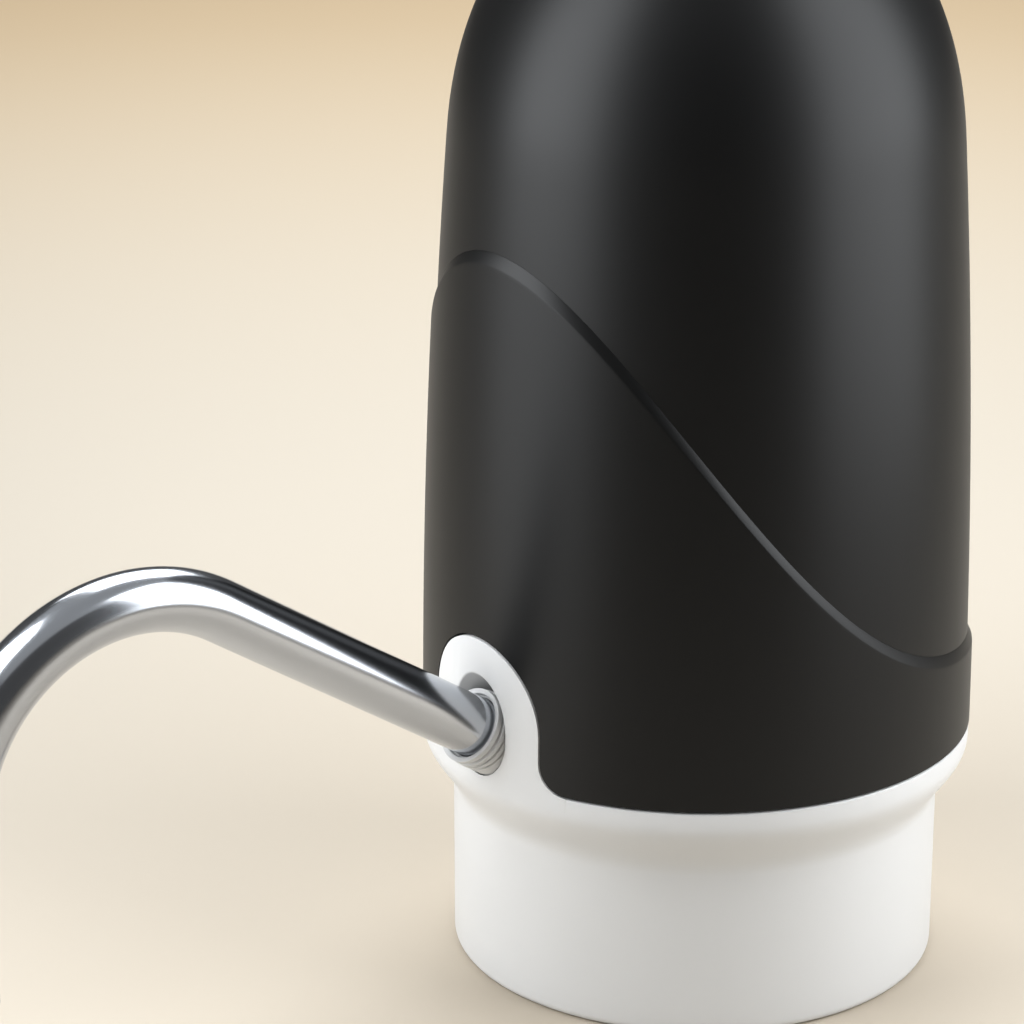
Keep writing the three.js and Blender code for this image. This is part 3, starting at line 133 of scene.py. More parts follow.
# The spout, whose axis crosses the wall at SPOUT_ROOT.
SPOUT_ROOT = Vector((0, -CASE_RADIUS, 39.4 * MM))
SPOUT_TILT = math.radians(32.9)
SPOUT_BEND = math.radians(122.9)
SPOUT_RADIUS = 4 * MM
SPOUT_WALL = 1 * MM
SPOUT_STRAIGHT = 46.7 * MM
SPOUT_BEND_RADIUS = 24.25 * MM
SPOUT_TAIL = 22 * MM
SPOUT_INSERT = 11 * MM

# The bush round the spout. Places along it are counted outwards from SPOUT_ROOT.
BUSH_FIT = 0.1 * MM
BUSH_RADIUS = 5.2 * MM
BUSH_END = -7.4 * MM
BUSH_CHAMFER = 0.3 * MM
# Its ribs, by start, end and radius, and the grooves between them.
BUSH_RIBS = [
    (-6.9 * MM, -1.75 * MM, 5.2 * MM),
    (-1.35 * MM, -0.75 * MM, 5.22 * MM),
    (-0.35 * MM, 0.25 * MM, 5.25 * MM),
    (0.65 * MM, 1.45 * MM, 5.1 * MM),
]
GROOVE_RADIUS = 4.75 * MM
GROOVE_SLOPE = 0.14 * MM
# Its mouth, by distance from the tube and place along it.
BUSH_MOUTH = [(0.45 * MM, 1.35 * MM), (0.35 * MM, 1.15 * MM), (0.35 * MM, 0.75 * MM), (BUSH_FIT, 0.6 * MM)]

# The button, and the rows of its domed face as shares of its radius.
BUTTON_UNDERSIDE = 146.6 * MM
BUTTON_CHAMFER = 0.4 * MM
BUTTON_EDGE = 150.2 * MM
BUTTON_ROUND = 0.5 * MM
BUTTON_ROWS = [0.9, 0.75, 0.5, 0.25]
STEM_RADIUS = 2 * MM

# The rings round the button.
TRIM_WALL = 0.5 * MM
TRIM_FLANGE = 0.6 * MM
LIGHT_RING_HOLE = 10.3 * MM

# The seal inside the collar: its skirt, its flange and its two lips.
SEAL_WALL = 2.3 * MM
SEAL_FLANGE = 4.4 * MM
SEAL_HOLE = 19 * MM
SEAL_LIP_PITCH = 7 * MM
SEAL_LIP_REACH = 0.6 * MM
SEAL_LIP_HEIGHT = 1.6 * MM
SEAL_LIP_EDGE = 0.3 * MM

# The nipple for the hose: its barbs, its flange and the tip above the deck.
NIPPLE_RADIUS = 3.8 * MM
NIPPLE_BORE = 2.4 * MM
NIPPLE_FLANGE_RADIUS = 8 * MM
NIPPLE_FLANGE = 2.6 * MM
NIPPLE_NECK = 3.3 * MM
NIPPLE_TIP = 1.9 * MM
NIPPLE_TIP_BORE = 1.2 * MM
BARB_COUNT = 3
BARB_PITCH = 3.2 * MM
BARB_RISE = 0.35 * MM
BARB_CREST_START = 2.9 * MM
BARB_CREST_END = 3.1 * MM

# How wide sharp edges are rounded.
BASE_ROUND = 0.3 * MM
OUTLINE_ROUND = 0.25 * MM
MOUTH_ROUND = 0.35 * MM
PIPE_ROUND = 0.25 * MM
BUSH_ROUND = 0.06 * MM
TRIM_ROUND = 0.22 * MM
LIGHT_RING_ROUND = 0.2 * MM
SEAL_ROUND = 0.15 * MM
NIPPLE_ROUND = 0.12 * MM

# How finely shapes are made: steps round an axis, and rows along it.
CASE_STEPS = 192
RING_STEPS = 96
TUBE_STEPS = 48
BEND_STEPS = 48
STRAIGHT_ROWS = 12
SLEEVE_ROWS = 12
SKIRT_ROWS = 4
COVER_ROWS = 10
DOME_ROWS = 26
INNER_ROWS = 12
COLLAR_ROWS = 8
SHOULDER_ROWS = 24

# Cutters reach past what they cut by this margin.
CUT_MARGIN = 2 * MM

# Points closer together than this are merged, in a new shape and in the finished base.
SAME_POINT = 0.002 * MM
SLIVER = 0.008 * MM

# The base's edges that are rounded on their own: at least this sharp in degrees, and on the tongue's face
# within the tolerance. Their points stand at least a share of the rounding's width apart.
ROUNDED_ANGLE = 50
FACE_TOLERANCE = 0.1 * MM
POINT_SPACING = 0.6

# Faces that meet at less than this are shaded as one.
SMOOTH_ANGLE = math.radians(38)

# The camera, with its lens and sensor in millimetres.
CAMERA_PLACE = Vector((345.4, -293.9, 217.1)) * MM
CAMERA_AIM = Vector((-0.7533, 0.5718, -0.3247))
CAMERA_LENS = 124.4
CAMERA_SENSOR = 36

# The lamps. Each softbox is given by name, angle in degrees to the right of the camera's side of the pump,
# distance from the axis, width and length, height in metres, and radiance.
WORLD_STRENGTH = 0.08
LAMP_COLOUR = (0.94, 0.97, 1)
UPRIGHT_SOFTBOXES = [
    ("left_softbox", -65, 0.2, (0.17, 0.1), 0.05, 2.3),
    ("right_softbox", 72, 0.2, (0.19, 0.065), 0.0675, 3.2),
    ("upper_left_softbox", -66, 0.2, (0.16, 0.32), 0.26, 6.1),
    ("upper_right_softbox", 75, 0.2, (0.2, 0.32), 0.26, 5.2),
]
TOP_SOFTBOXES = [
    ("backdrop_softbox", 180, 0.6, (0.7, 0.7), 0.6, 4.6),
    ("overhead_softbox", 0, 0, (2.4, 2.4), 1.3, 0.32),
]

# The paper under the pump: its colour as the pump mirrors it, and the painted light that the camera sees on
# it at distances in metres, a painted pool of light about 0.2 m from the pump with painted shade nearer to it
# and further off.
FLOOR_SIZE = 8
PAPER_ROUGHNESS = 0.9
PAPER_COLOUR = (0.57, 0.512, 0.432)
PAPER_PAINTED_LIGHT = [
    (0.05, (0.52, 0.45, 0.36)),
    (0.2, (0.65, 0.59, 0.5)),
    (0.42, (0.57, 0.485, 0.37)),
    (0.66, (0.48, 0.36, 0.22)),
    (1.0, (0.45, 0.31, 0.165)),
]


def case_radius(z):
    """The sleeve's outer radius at a height."""
    t = (z - CASE_BOTTOM) / TAPER_SPAN
    return CASE_RADIUS - TAPER_SLOPE * t - TAPER_CURVE * t * t


def wave_height(angle):
    """The height of the wave at an angle round Z, counted from the spout."""
    return sum(size * math.cos(order * angle) for order, size in enumerate(WAVE))


# At the land the dome has closed in to the land's radius, which gives its full rise.
LAND_SHARE = (BUTTON_HOLE + LAND_WIDTH) / (case_radius(LAND_HEIGHT) - SLEEVE_STEP)
DOME_RISE = (LAND_HEIGHT - DOME_START) / (1 - LAND_SHARE**DOME_POWER) ** (1 / DOME_POWER)


def cover_radius(z, inset):
    """The cover's radius at a height, outside or a wall's thickness further in."""
    rise = min(1, max(0, z - DOME_START) / (DOME_RISE - inset))
    roundness = (1 - rise**DOME_POWER) ** (1 / DOME_POWER)
    return (case_radius(z) - SLEEVE_STEP - inset) * roundness


def dome_heights(inset, land, steps):
    """Heights on the dome, spaced evenly round its curve up to the land."""
    rise = DOME_RISE - inset
    last = math.asin(((land - DOME_START) / rise) ** (DOME_POWER / 2))
    return [DOME_START + rise * math.sin(last * i / steps) ** (2 / DOME_POWER) for i in range(1, steps + 1)]


def even_steps(low, high, count):
    """Evenly spaced values from low up to high."""
    return [low + (high - low) * i / count for i in range(count + 1)]


def arc(centre, radius, start, end, steps):
    """Points of a circle's arc in a plane, with angles in degrees."""
    points = []
    for degrees in even_steps(start, end, steps):
        angle = math.radians(degrees)
        points.append((centre[0] + radius * math.cos(angle), centre[1] + radius * math.sin(angle)))
    return points


# Modelling


def only(piece):
    """Selects one piece and nothing else."""
    bpy.ops.object.select_all(action="DESELECT")
    piece.select_set(True)
    bpy.context.view_layer.objects.active = piece


def begin(name):
    """A new piece in edit mode, with one point at the origin."""
    bpy.ops.object.select_all(action="DESELECT")
    bpy.ops.mesh.primitive_plane_add(size=MM)
    piece = bpy.context.object
    piece.name = name
    piece.data.name = name
    bpy.ops.object.mode_set(mode="EDIT")
    bpy.ops.mesh.select_mode(type="VERT")
    bpy.ops.mesh.select_all(action="SELECT")
    bpy.ops.mesh.merge(type="CENTER")
    return piece


def draw(points):
    """Moves the first point into place and extrudes it through the others."""
    bpy.ops.transform.translate(value=points[0])
    for here, there in zip(points, points[1:]):
        bpy.ops.mesh.extrude_vertices_move(TRANSFORM_OT_translate={"value": there - here})


def close():
    """Merges what meets, turns all faces outwards and leaves edit mode."""
    bpy.ops.mesh.select_all(action="SELECT")
    bpy.ops.mesh.remove_doubles(threshold=SAME_POINT)
    bpy.ops.mesh.normals_make_consistent(inside=False)
    bpy.ops.object.mode_set(mode="OBJECT")


def spun(name, outline, steps=RING_STEPS):
    """A round piece: an outline of (radius, height) pairs, drawn and spun about Z."""
    piece = begin(name)
    draw([Vector((radius, 0, z)) for radius, z in outline])
    bpy.ops.mesh.select_all(action="SELECT")
    bpy.ops.mesh.spin(steps=steps, angle=math.tau, center=(0, 0, 0), axis=(0, 0, 1))
    close()
    return piece


def ring(name, outline, steps=RING_STEPS):
    """A round piece whose outline closes on itself."""
    return spun(name, [*outline, outline[0]], steps)


def prism(name, outline, depth):
    """A flat outline in the XZ plane, filled and extruded along -Y."""
    piece = begin(name)
    draw([Vector((x, 0, z)) for x, z in [*outline, outline[0]]])
    bpy.ops.mesh.select_all(action="SELECT")
    bpy.ops.mesh.remove_doubles(threshold=SAME_POINT)
    bpy.ops.mesh.select_all(action="SELECT")
    bpy.ops.mesh.edge_face_add()
    bpy.ops.mesh.extrude_region_move(TRANSFORM_OT_translate={"value": (0, -depth, 0)})
    close()
    return piece


def place(piece, location=(0, 0, 0), turn=0):
    """Turns a piece about X and moves it, both in its mesh."""
    only(piece)
    piece.rotation_euler = (turn, 0, 0)
    piece.location = location
    bpy.ops.object.transform_apply(location=True, rotation=True, scale=False)


def at_spout(piece):
    """Puts a shape made along Z on the spout's axis."""
    place(piece, SPOUT_ROOT, math.pi / 2 - SPOUT_TILT)


def finish_with(piece, kind, **settings):
    """Adds a modifier to a piece and applies it."""
    only(piece)
    modifier = piece.modifiers.new(kind.title(), kind)
    for name, value in settings.items():
        setattr(modifier, name, value)
    bpy.ops.object.modifier_apply(modifier=modifier.name)


def soften(piece, width, segments=3, angle=40):
    """Rounds a piece's sharp edges."""
    settings = {"limit_method": "ANGLE", "angle_limit": math.radians(angle), "use_clamp_overlap": True}
    finish_with(piece, "BEVEL", width=width, segments=segments, **settings)


def combine(piece, operation, others):
    """Combines a piece with other shapes in turn, and removes these."""
    for other in others:
        finish_with(piece, "BOOLEAN", operation=operation, object=other, solver="EXACT")
        bpy.data.objects.remove(other)


def carve(piece, *cutters):
    """Cuts other shapes out of a piece."""
    combine(piece, "DIFFERENCE", cutters)


def weld(piece, *others):
    """Joins other shapes to a piece in one skin."""
    combine(piece, "UNION", others)


def trim_to(piece, other):
    """Keeps what a piece shares with another shape."""
    combine(piece, "INTERSECT", [other])


def sharp_edges(piece, angle):
    """The edges whose two faces meet at more than an angle."""
    faces = {}
    for face in piece.data.polygons:
        for key in face.edge_keys:
            faces.setdefault(key, []).append(face.normal)
    limit = math.cos(math.radians(angle))
    found = []
    for edge in piece.data.edges:
        normals = faces.get(edge.key, [])
        if len(normals) == 2 and normals[0].dot(normals[1]) < limit:
            found.append(edge)
    return found


def pick_edges(piece, chosen):
    """Enters edit mode with only the sharp edges selected whose two ends pass a test."""
    only(piece)
    bpy.ops.object.mode_set(mode="EDIT")
    bpy.ops.mesh.select_mode(type="EDGE")
    bpy.ops.mesh.select_all(action="DESELECT")
    bpy.ops.object.mode_set(mode="OBJECT")
    points = piece.data.vertices
    for edge in sharp_edges(piece, ROUNDED_ANGLE):
        edge.select = all(chosen(points[i].co) for i in edge.vertices)
    bpy.ops.object.mode_set(mode="EDIT")


def round_edges(piece, width, chosen, segments=4):
    """Evens out the points along the chosen sharp edges, and rounds these edges."""
    pick_edges(piece, chosen)
    bpy.ops.mesh.remove_doubles(threshold=POINT_SPACING * width)
    bpy.ops.object.mode_set(mode="OBJECT")
    pick_edges(piece, chosen)
    bpy.ops.mesh.bevel(offset=width, segments=segments, affect="EDGES", clamp_overlap=True)
    bpy.ops.object.mode_set(mode="OBJECT")


def merge_slivers(piece, width):
    """Merges corners that stand closer together than the width."""
    only(piece)
    bpy.ops.object.mode_set(mode="EDIT")
    bpy.ops.mesh.select_mode(type="VERT")
    bpy.ops.mesh.select_all(action="SELECT")
    bpy.ops.mesh.remove_doubles(threshold=width)
    bpy.ops.mesh.dissolve_degenerate(threshold=width)
    bpy.ops.object.mode_set(mode="OBJECT")


# Materials


def material(name, colour, roughness, metallic=0.0):
    """A new material with its shader's plain values set."""
    made = bpy.data.materials.new(name)
    made.use_nodes = True
    shader = shader_of(made)
    shader.inputs["Base Color"].default_value = (*colour, 1)
    shader.inputs["Roughness"].default_value = roughness
    shader.inputs["Metallic"].default_value = metallic
    return made


def shader_of(made):
    """The one shader of a material."""
    return made.node_tree.nodes["Principled BSDF"]


def add_math(tree, operation):
    """A node that works out a number."""
    node = tree.nodes.new("ShaderNodeMath")
    node.operation = operation
    return node


def add_noise(tree, scale, detail, stretch=(1, 1, 1)):
    """Noise on Object coordinates, stretched along an axis where the finish has a grain."""
    coordinates = tree.nodes.new("ShaderNodeTexCoord")
    mapping = tree.nodes.new("ShaderNodeMapping")
    mapping.inputs["Scale"].default_value = stretch
    noise = tree.nodes.new("ShaderNodeTexNoise")
    noise.inputs["Scale"].default_value = scale
    noise.inputs["Detail"].default_value = detail
    tree.links.new(coordinates.outputs["Object"], mapping.inputs["Vector"])
    tree.links.new(mapping.outputs["Vector"], noise.inputs["Vector"])
    return noise


def new_group(name):
    """An empty group for a finish, with its sockets and its two ends."""
    group = bpy.data.node_groups.new(name, "ShaderNodeTree")
    group.interface.new_socket("Colour", in_out="INPUT", socket_type="NodeSocketColor")
    for label in ("Roughness", "Variation", "Relief"):
        group.interface.new_socket(label, in_out="INPUT", socket_type="NodeSocketFloat")
    for label, kind in (("Colour", "Color"), ("Roughness", "Float"), ("Normal", "Vector")):
        group.interface.new_socket(label, in_out="OUTPUT", socket_type="NodeSocket" + kind)
    return group, group.nodes.new("NodeGroupInput"), group.nodes.new("NodeGroupOutput")


def make_finish(name, broad, fine, depth):
    """A group for a finish: broad, faint changes in tone and gloss, and a fine relief up to a depth."""
    group, start, end = new_group(name)
    broad_noise = add_noise(group, **broad)
    fine_noise = add_noise(group, **fine)
    swing = add_math(group, "SUBTRACT")
    swing.inputs[1].default_value = 0.5
    gloss = add_math(group, "MULTIPLY_ADD")
    tone = add_math(group, "MULTIPLY_ADD")
    tone.inputs[2].default_value = 1
    shade = group.nodes.new("ShaderNodeHueSaturation")
    bump = group.nodes.new("ShaderNodeBump")
    bump.inputs["Distance"].default_value = depth
    link = group.links.new
    link(broad_noise.outputs["Fac"], swing.inputs[0])
    for node in (gloss, tone):
        link(swing.outputs[0], node.inputs[0])
        link(start.outputs["Variation"], node.inputs[1])
    link(start.outputs["Roughness"], gloss.inputs[2])
    link(tone.outputs[0], shade.inputs["Value"])
    link(start.outputs["Colour"], shade.inputs["Color"])
    link(fine_noise.outputs["Fac"], bump.inputs["Height"])
    link(start.outputs["Relief"], bump.inputs["Strength"])
    link(shade.outputs["Color"], end.inputs["Colour"])
    link(gloss.outputs[0], end.inputs["Roughness"])
    link(bump.outputs["Normal"], end.inputs["Normal"])
    return group


# Moulded plastic has the texture of its tool, and drawn metal has fine lines along one axis.
MOULDED = make_finish(
    "moulded plastic",
    broad={"scale": 45, "detail": 3},
    fine={"scale": 4200, "detail": 2},
    depth=0.02 * MM,
)
DRAWN_METAL = make_finish(
    "drawn metal",
    broad={"scale": 60, "detail": 3},
    fine={"scale": 900, "detail": 2, "stretch": (6, 0.3, 0.3)},
    depth=0.01 * MM,
)


def use_finish(made, group, colour, roughness, variation, relief):
    """Places a finish in a material and feeds its shader."""
    tree = made.node_tree
    finish = tree.nodes.new("ShaderNodeGroup")
    finish.node_tree = group
    finish.inputs["Colour"].default_value = (*colour, 1)
    finish.inputs["Roughness"].default_value = roughness
    finish.inputs["Variation"].default_value = variation
    finish.inputs["Relief"].default_value = relief
    shader = shader_of(made)
    tree.links.new(finish.outputs["Colour"], shader.inputs["Base Color"])
    tree.links.new(finish.outputs["Roughness"], shader.inputs["Roughness"])
    tree.links.new(finish.outputs["Normal"], shader.inputs["Normal"])


def plastic(name, colour, roughness, variation=0.04, relief=0.1, specular=0.5):
    """A plastic or rubber with a moulded finish."""
    made = material(name, colour, roughness)
    shader_of(made).inputs["Specular IOR Level"].default_value = specular
    use_finish(made, MOULDED, colour, roughness, variation, relief)
    return made


def metal(name, colour, roughness, variation=0.05, relief=0.05):
    """A metal with a drawn finish."""
    made = material(name, colour, roughness, metallic=1.0)
    use_finish(made, DRAWN_METAL, colour, roughness, variation, relief)
    return made


BLACK_SATIN = plastic("black satin plastic", (0.0015, 0.0015, 0.0015), 0.41, relief=0.06, specular=0.3)
BUTTON_SATIN = plastic("button plastic", (0.02, 0.02, 0.021), 0.36, relief=0.06)
WHITE_SATIN = plastic("white satin plastic", (0.69, 0.69, 0.688), 0.37, variation=0.03, relief=0.05)
PALE_SILICONE = plastic("pale silicone", (0.56, 0.56, 0.555), 0.42, variation=0.05, relief=0.15)
INNER_PLASTIC = plastic("grey inner plastic", (0.42, 0.43, 0.43), 0.55, relief=0.2)
BLACK_RUBBER = plastic("black rubber", (0.018, 0.018, 0.018), 0.7, relief=0.3, specular=0.35)
CELL_WRAP = plastic("blue shrink wrap", (0.03, 0.13, 0.34), 0.3, relief=0.08)
RED_LEAD = plastic("red insulation", (0.42, 0.02, 0.015), 0.45)
BLACK_LEAD = plastic("black insulation", (0.018, 0.018, 0.018), 0.45)
WHITE_LEAD = plastic("white insulation", (0.75, 0.75, 0.74), 0.45)
LIGHT_PIPE = plastic("frosted light pipe", (0.72, 0.82, 0.9), 0.3, relief=0.05)
BOARD_GREEN = plastic("green solder mask", (0.015, 0.12, 0.05), 0.4, variation=0.12)
SPOUT_STEEL = metal("polished stainless steel", (0.53, 0.55, 0.585), 0.17, variation=0.03, relief=0.03)
TRIM_METAL = metal("bright trim", (0.78, 0.78, 0.78), 0.1, variation=0.02, relief=0.02)
ZINC = metal("zinc plate", (0.55, 0.56, 0.58), 0.34, variation=0.1, relief=0.1)
MOTOR_STEEL = metal("drawn motor steel", (0.58, 0.58, 0.57), 0.28, variation=0.08, relief=0.12)
COPPER = metal("enamelled copper", (0.66, 0.3, 0.12), 0.35, variation=0.15, relief=0.4)

SLOT_LOOKS = {
    "white_plastic": WHITE_SATIN,
    "black_plastic": BLACK_SATIN,
    "button_plastic": BUTTON_SATIN,
    "polished_trim": TRIM_METAL,
    "light_pipe": LIGHT_PIPE,
    "circuit_board": BOARD_GREEN,
    "black_rubber": BLACK_RUBBER,
    "zinc": ZINC,
    "stainless_steel": SPOUT_STEEL,
    "pale_silicone": PALE_SILICONE,
    "inner_plastic": INNER_PLASTIC,
    "cell_wrap": CELL_WRAP,
    "motor_steel": MOTOR_STEEL,
    "copper_winding": COPPER,
    "red_lead": RED_LEAD,
    "black_lead": BLACK_LEAD,
    "white_lead": WHITE_LEAD,
}


def settle(piece, body, slot, replaced):
    """Gives a finished piece its material, its body and the solid that it stands for."""
    piece.data.materials.clear()
    piece.data.materials.append(SLOT_LOOKS[slot])
    only(piece)
    bpy.ops.object.shade_smooth_by_angle(angle=SMOOTH_ANGLE)
    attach(piece, body)
    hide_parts(replaced)


# The black case


def bend_to_wave(piece):
    """Lifts the rows near the wave's mean height on to the wave, and those further off by less.

    Each point keeps its distance from the sleeve's outside.
    """
    low, high = WAVE_MEAN - WAVE_HALF_BAND, WAVE_MEAN + WAVE_HALF_BAND
    for vertex in piece.data.vertices:
        x, y, z = vertex.co
        if not CASE_BOTTOM < z < DOME_START:
            continue
        share = 1
        if z < low:
            share = (z - CASE_BOTTOM) / (low - CASE_BOTTOM)
        if z > high:
            share = (DOME_START - z) / (DOME_START - high)
        lifted = z + (wave_height(math.atan2(x, -y)) - WAVE_MEAN) * share
        radius = math.hypot(x, y)
        reach = (radius + case_radius(lifted) - case_radius(z)) / radius
        vertex.co = (x * reach, y * reach, lifted)
    piece.data.update()


def tongue_prism(grow, bottom):
    """The tongue's front outline as a block, grown by a gap where it is cut from the shells."""
    side = TONGUE_HALF + TONGUE_FLARE
    right = arc((side, TONGUE_FLARE_TOP), TONGUE_FLARE - grow, -90, -180, steps=12)
    crown = arc((0, TONGUE_CROWN), TONGUE_HALF + grow, 0, 180, steps=48)
    left = arc((-side, TONGUE_FLARE_TOP), TONGUE_FLARE - grow, 0, -90, steps=12)
    outline = [(side, bottom), *right, *crown, *left, (-side, bottom)]
    return prism("tongue_cutter", outline, CASE_RADIUS + CUT_MARGIN)


def make_sleeve():
    """The sleeve, whose upper edge is the wave, with a bevelled lip and a cut round the tongue."""
    rows = [*even_steps(CASE_BOTTOM, WAVE_MEAN - WAVE_HALF_BAND, SLEEVE_ROWS), WAVE_MEAN - LIP_FOOT]
    outside = [(case_radius(z), z) for z in rows]
    for height_share, step_share in LIP_ROWS:
        z = WAVE_MEAN - SLEEVE_LIP * (1 - height_share)
        outside.append((case_radius(z) - SLEEVE_STEP * step_share, z))
    inside = [(case_radius(z) - SLEEVE_WALL, z) for z in [WAVE_MEAN, *reversed(rows)]]
    piece = ring("case_sleeve", outside + inside, CASE_STEPS)
    bend_to_wave(piece)
    carve(piece, tongue_prism(GAP, CASE_BOTTOM - CUT_MARGIN))
    settle(piece, "pump_body", "black_plastic", "wave_sleeve")


def port_cutter():
    """A flat block with round corners, from outside the case in through the cover's wall."""
    x, z = PORT_HALF - PORT_CORNER, PORT_HALF_HEIGHT - PORT_CORNER
    outline = []
    for i, centre in enumerate([(x, z), (-x, z), (-x, -z), (x, -z)]):
        outline += arc(centre, PORT_CORNER, 90 * i, 90 * (i + 1), steps=8)
    outside = CASE_RADIUS + CUT_MARGIN
    piece = prism("port_cutter", outline, outside - PORT_CUT_END)
    place(piece, (0, outside, PORT_HEIGHT))
    return piece


def make_cover():
    """The cover: a skirt inside the sleeve, the wall above the wave, and the dome with the button's hole."""
    ledge = WAVE_MEAN + SEAM
    skirt = [*even_steps(CASE_BOTTOM, WAVE_MEAN - WAVE_HALF_BAND, SKIRT_ROWS), ledge]
    wall = [ledge, WAVE_MEAN + COVER_FOOT, *even_steps(WAVE_MEAN + WAVE_HALF_BAND, DOME_START, COVER_ROWS)]
    outside = [(case_radius(z) - SLEEVE_WALL - GAP, z) for z in skirt]
    outside += [(cover_radius(z, 0), z) for z in [*wall, *dome_heights(0, LAND_HEIGHT, DOME_ROWS)]]
    land_inside = LAND_HEIGHT - LAND_WALL
    hole = [(BUTTON_HOLE, LAND_HEIGHT), (BUTTON_HOLE, land_inside)]
    straight = even_steps(CASE_BOTTOM, DOME_START, INNER_ROWS)[:-1]
    domed = [DOME_START, *dome_heights(COVER_WALL, land_inside, INNER_ROWS)]
    skirt_step = SLEEVE_WALL + GAP - SLEEVE_STEP
    inside = [(cover_radius(z, COVER_WALL) - skirt_step, z) for z in straight]
    inside += [(cover_radius(z, COVER_WALL), z) for z in domed]
    piece = ring("case_cover", [*outside, *hole, *reversed(inside)], CASE_STEPS)
    bend_to_wave(piece)
    carve(piece, tongue_prism(GAP, CASE_BOTTOM - CUT_MARGIN), port_cutter())
    settle(piece, "pump_body", "black_plastic", "top_cover")


# The white base

# A height just above the tongue, up to which its raw shapes reach.
ABOVE_TONGUE = TONGUE_CROWN + TONGUE_HALF + CUT_MARGIN


def make_collar():
    """The collar with its shoulder, its deck and its spigot."""
    outline = [(0, DECK_UNDERSIDE), (COLLAR_BORE, DECK_UNDERSIDE), (COLLAR_BORE, 0)]
    outline += arc((COLLAR_RADIUS - RIM_ROUND, RIM_ROUND), RIM_ROUND, -90, 0, steps=10)
    outline += [(COLLAR_RADIUS, z) for z in even_steps(RIM_ROUND, SHOULDER_START, COLLAR_ROWS)[1:-1]]
    for share in even_steps(0, 1, SHOULDER_ROWS):
        swell = (1 - math.cos(math.pi * share)) / 2
        z = SHOULDER_START + (SHOULDER_END - SHOULDER_START) * share
        outline.append((COLLAR_RADIUS + (SHOULDER_RADIUS - COLLAR_RADIUS) * swell, z))
    seat = CASE_BOTTOM - GAP
    spigot = CASE_RADIUS - SLEEVE_STEP - COVER_WALL - 2 * GAP - SLEEVE_WALL
    spigot_bore = spigot - SPIGOT_WALL
    outline += [(SHOULDER_RADIUS, seat), (spigot, seat), (spigot, SPIGOT_TOP)]
    outline += [(spigot_bore, SPIGOT_TOP), (spigot_bore, DECK_TOP), (0, DECK_TOP)]
    piece = ring("collar_base", outline, CASE_STEPS)
    soften(piece, BASE_ROUND, angle=60)
    return piece


def make_tongue():
    """The tongue's curved wall."""
    inner = TONGUE_RADIUS - TONGUE_WALL
    outline = [(inner, TONGUE_FOOT), (TONGUE_RADIUS, TONGUE_FOOT)]
    outline += [(TONGUE_RADIUS, ABOVE_TONGUE), (inner, ABOVE_TONGUE)]
    piece = ring("tongue", outline, CASE_STEPS)
    trim_to(piece, tongue_prism(0, TONGUE_FOOT - CUT_MARGIN))
    return piece


def oval_rod(name, radius, start, end):
    """An oval rod along the spout's axis, taller than wide by the well's lift."""
    low = arc((0, 0), radius, 180, 360, steps=36)
    high = arc((0, WELL_LIFT), radius, 0, 180, steps=36)
    piece = prism(name, [*low, *high], end - start)
    place(piece, turn=-math.pi / 2)
    place(piece, (0, 0, start))
    at_spout(piece)
    return piece


def make_boss():
    """The boss round the well, which ends behind the tongue's face."""
    piece = oval_rod("boss", WELL_RADIUS + BOSS_WALL, -WELL_DEPTH, BOSS_END)
    reach = TONGUE_RADIUS - BOSS_SETBACK
    outline = [(0, DECK_TOP), (reach, DECK_TOP), (reach, ABOVE_TONGUE), (0, ABOVE_TONGUE)]
    trim_to(piece, spun("limit", outline, CASE_STEPS))
    return piece


def on_tongue(point):
    """Whether a point lies on the tongue's front face."""
    return math.hypot(point.x, point.y) > TONGUE_RADIUS - FACE_TOLERANCE


def on_mouth(point):
    """Whether a point lies on the well's mouth."""
    return on_tongue(point) and (point - SPOUT_ROOT).length < WELL_MOUTH_REACH


def on_outline(point):
    """Whether a point lies on the front outline of the tongue, above the shoulder."""
    return on_tongue(point) and not on_mouth(point) and point.z > CASE_BOTTOM


def make_base():
    """The white moulding: collar, tongue and boss in one, with the well sunk into them."""
    piece = make_collar()
    weld(piece, make_tongue(), make_boss())
    carve(piece, oval_rod("well", WELL_RADIUS, -WELL_DEPTH - CUT_MARGIN, WELL_CUT_END))
    round_edges(piece, OUTLINE_ROUND, on_outline)
    round_edges(piece, MOUTH_ROUND, on_mouth)
    merge_slivers(piece, SLIVER)
    settle(piece, "pump_body", "white_plastic", "base_housing")


# The spout


def make_spout():
    """The steel tube: a circle at its inner end, extruded along the straight and spun round the bend."""
    bpy.ops.object.select_all(action="DESELECT")
    bpy.ops.mesh.primitive_circle_add(vertices=TUBE_STEPS, radius=SPOUT_RADIUS, location=(0, 0, 0))
    piece = bpy.context.object
    piece.name = "spout_pipe"
    bpy.ops.object.mode_set(mode="EDIT")
    bpy.ops.mesh.select_all(action="SELECT")
    bpy.ops.transform.translate(value=(0, 0, -SPOUT_INSERT))
    step = (SPOUT_INSERT + SPOUT_STRAIGHT) / STRAIGHT_ROWS
    for _ in range(STRAIGHT_ROWS):
        bpy.ops.mesh.extrude_edges_move(TRANSFORM_OT_translate={"value": (0, 0, step)})
    centre = (0, -SPOUT_BEND_RADIUS, SPOUT_STRAIGHT)
    bpy.ops.mesh.spin(steps=BEND_STEPS, angle=-SPOUT_BEND, center=centre, axis=(1, 0, 0))
    down = Vector((0, -math.sin(SPOUT_BEND), math.cos(SPOUT_BEND)))
    bpy.ops.mesh.extrude_edges_move(TRANSFORM_OT_translate={"value": down * SPOUT_TAIL})
    close()
    finish_with(piece, "SOLIDIFY", thickness=SPOUT_WALL, offset=-1)
    soften(piece, PIPE_ROUND, angle=60)
    at_spout(piece)
    settle(piece, "spout", "stainless_steel", "spout_tube")


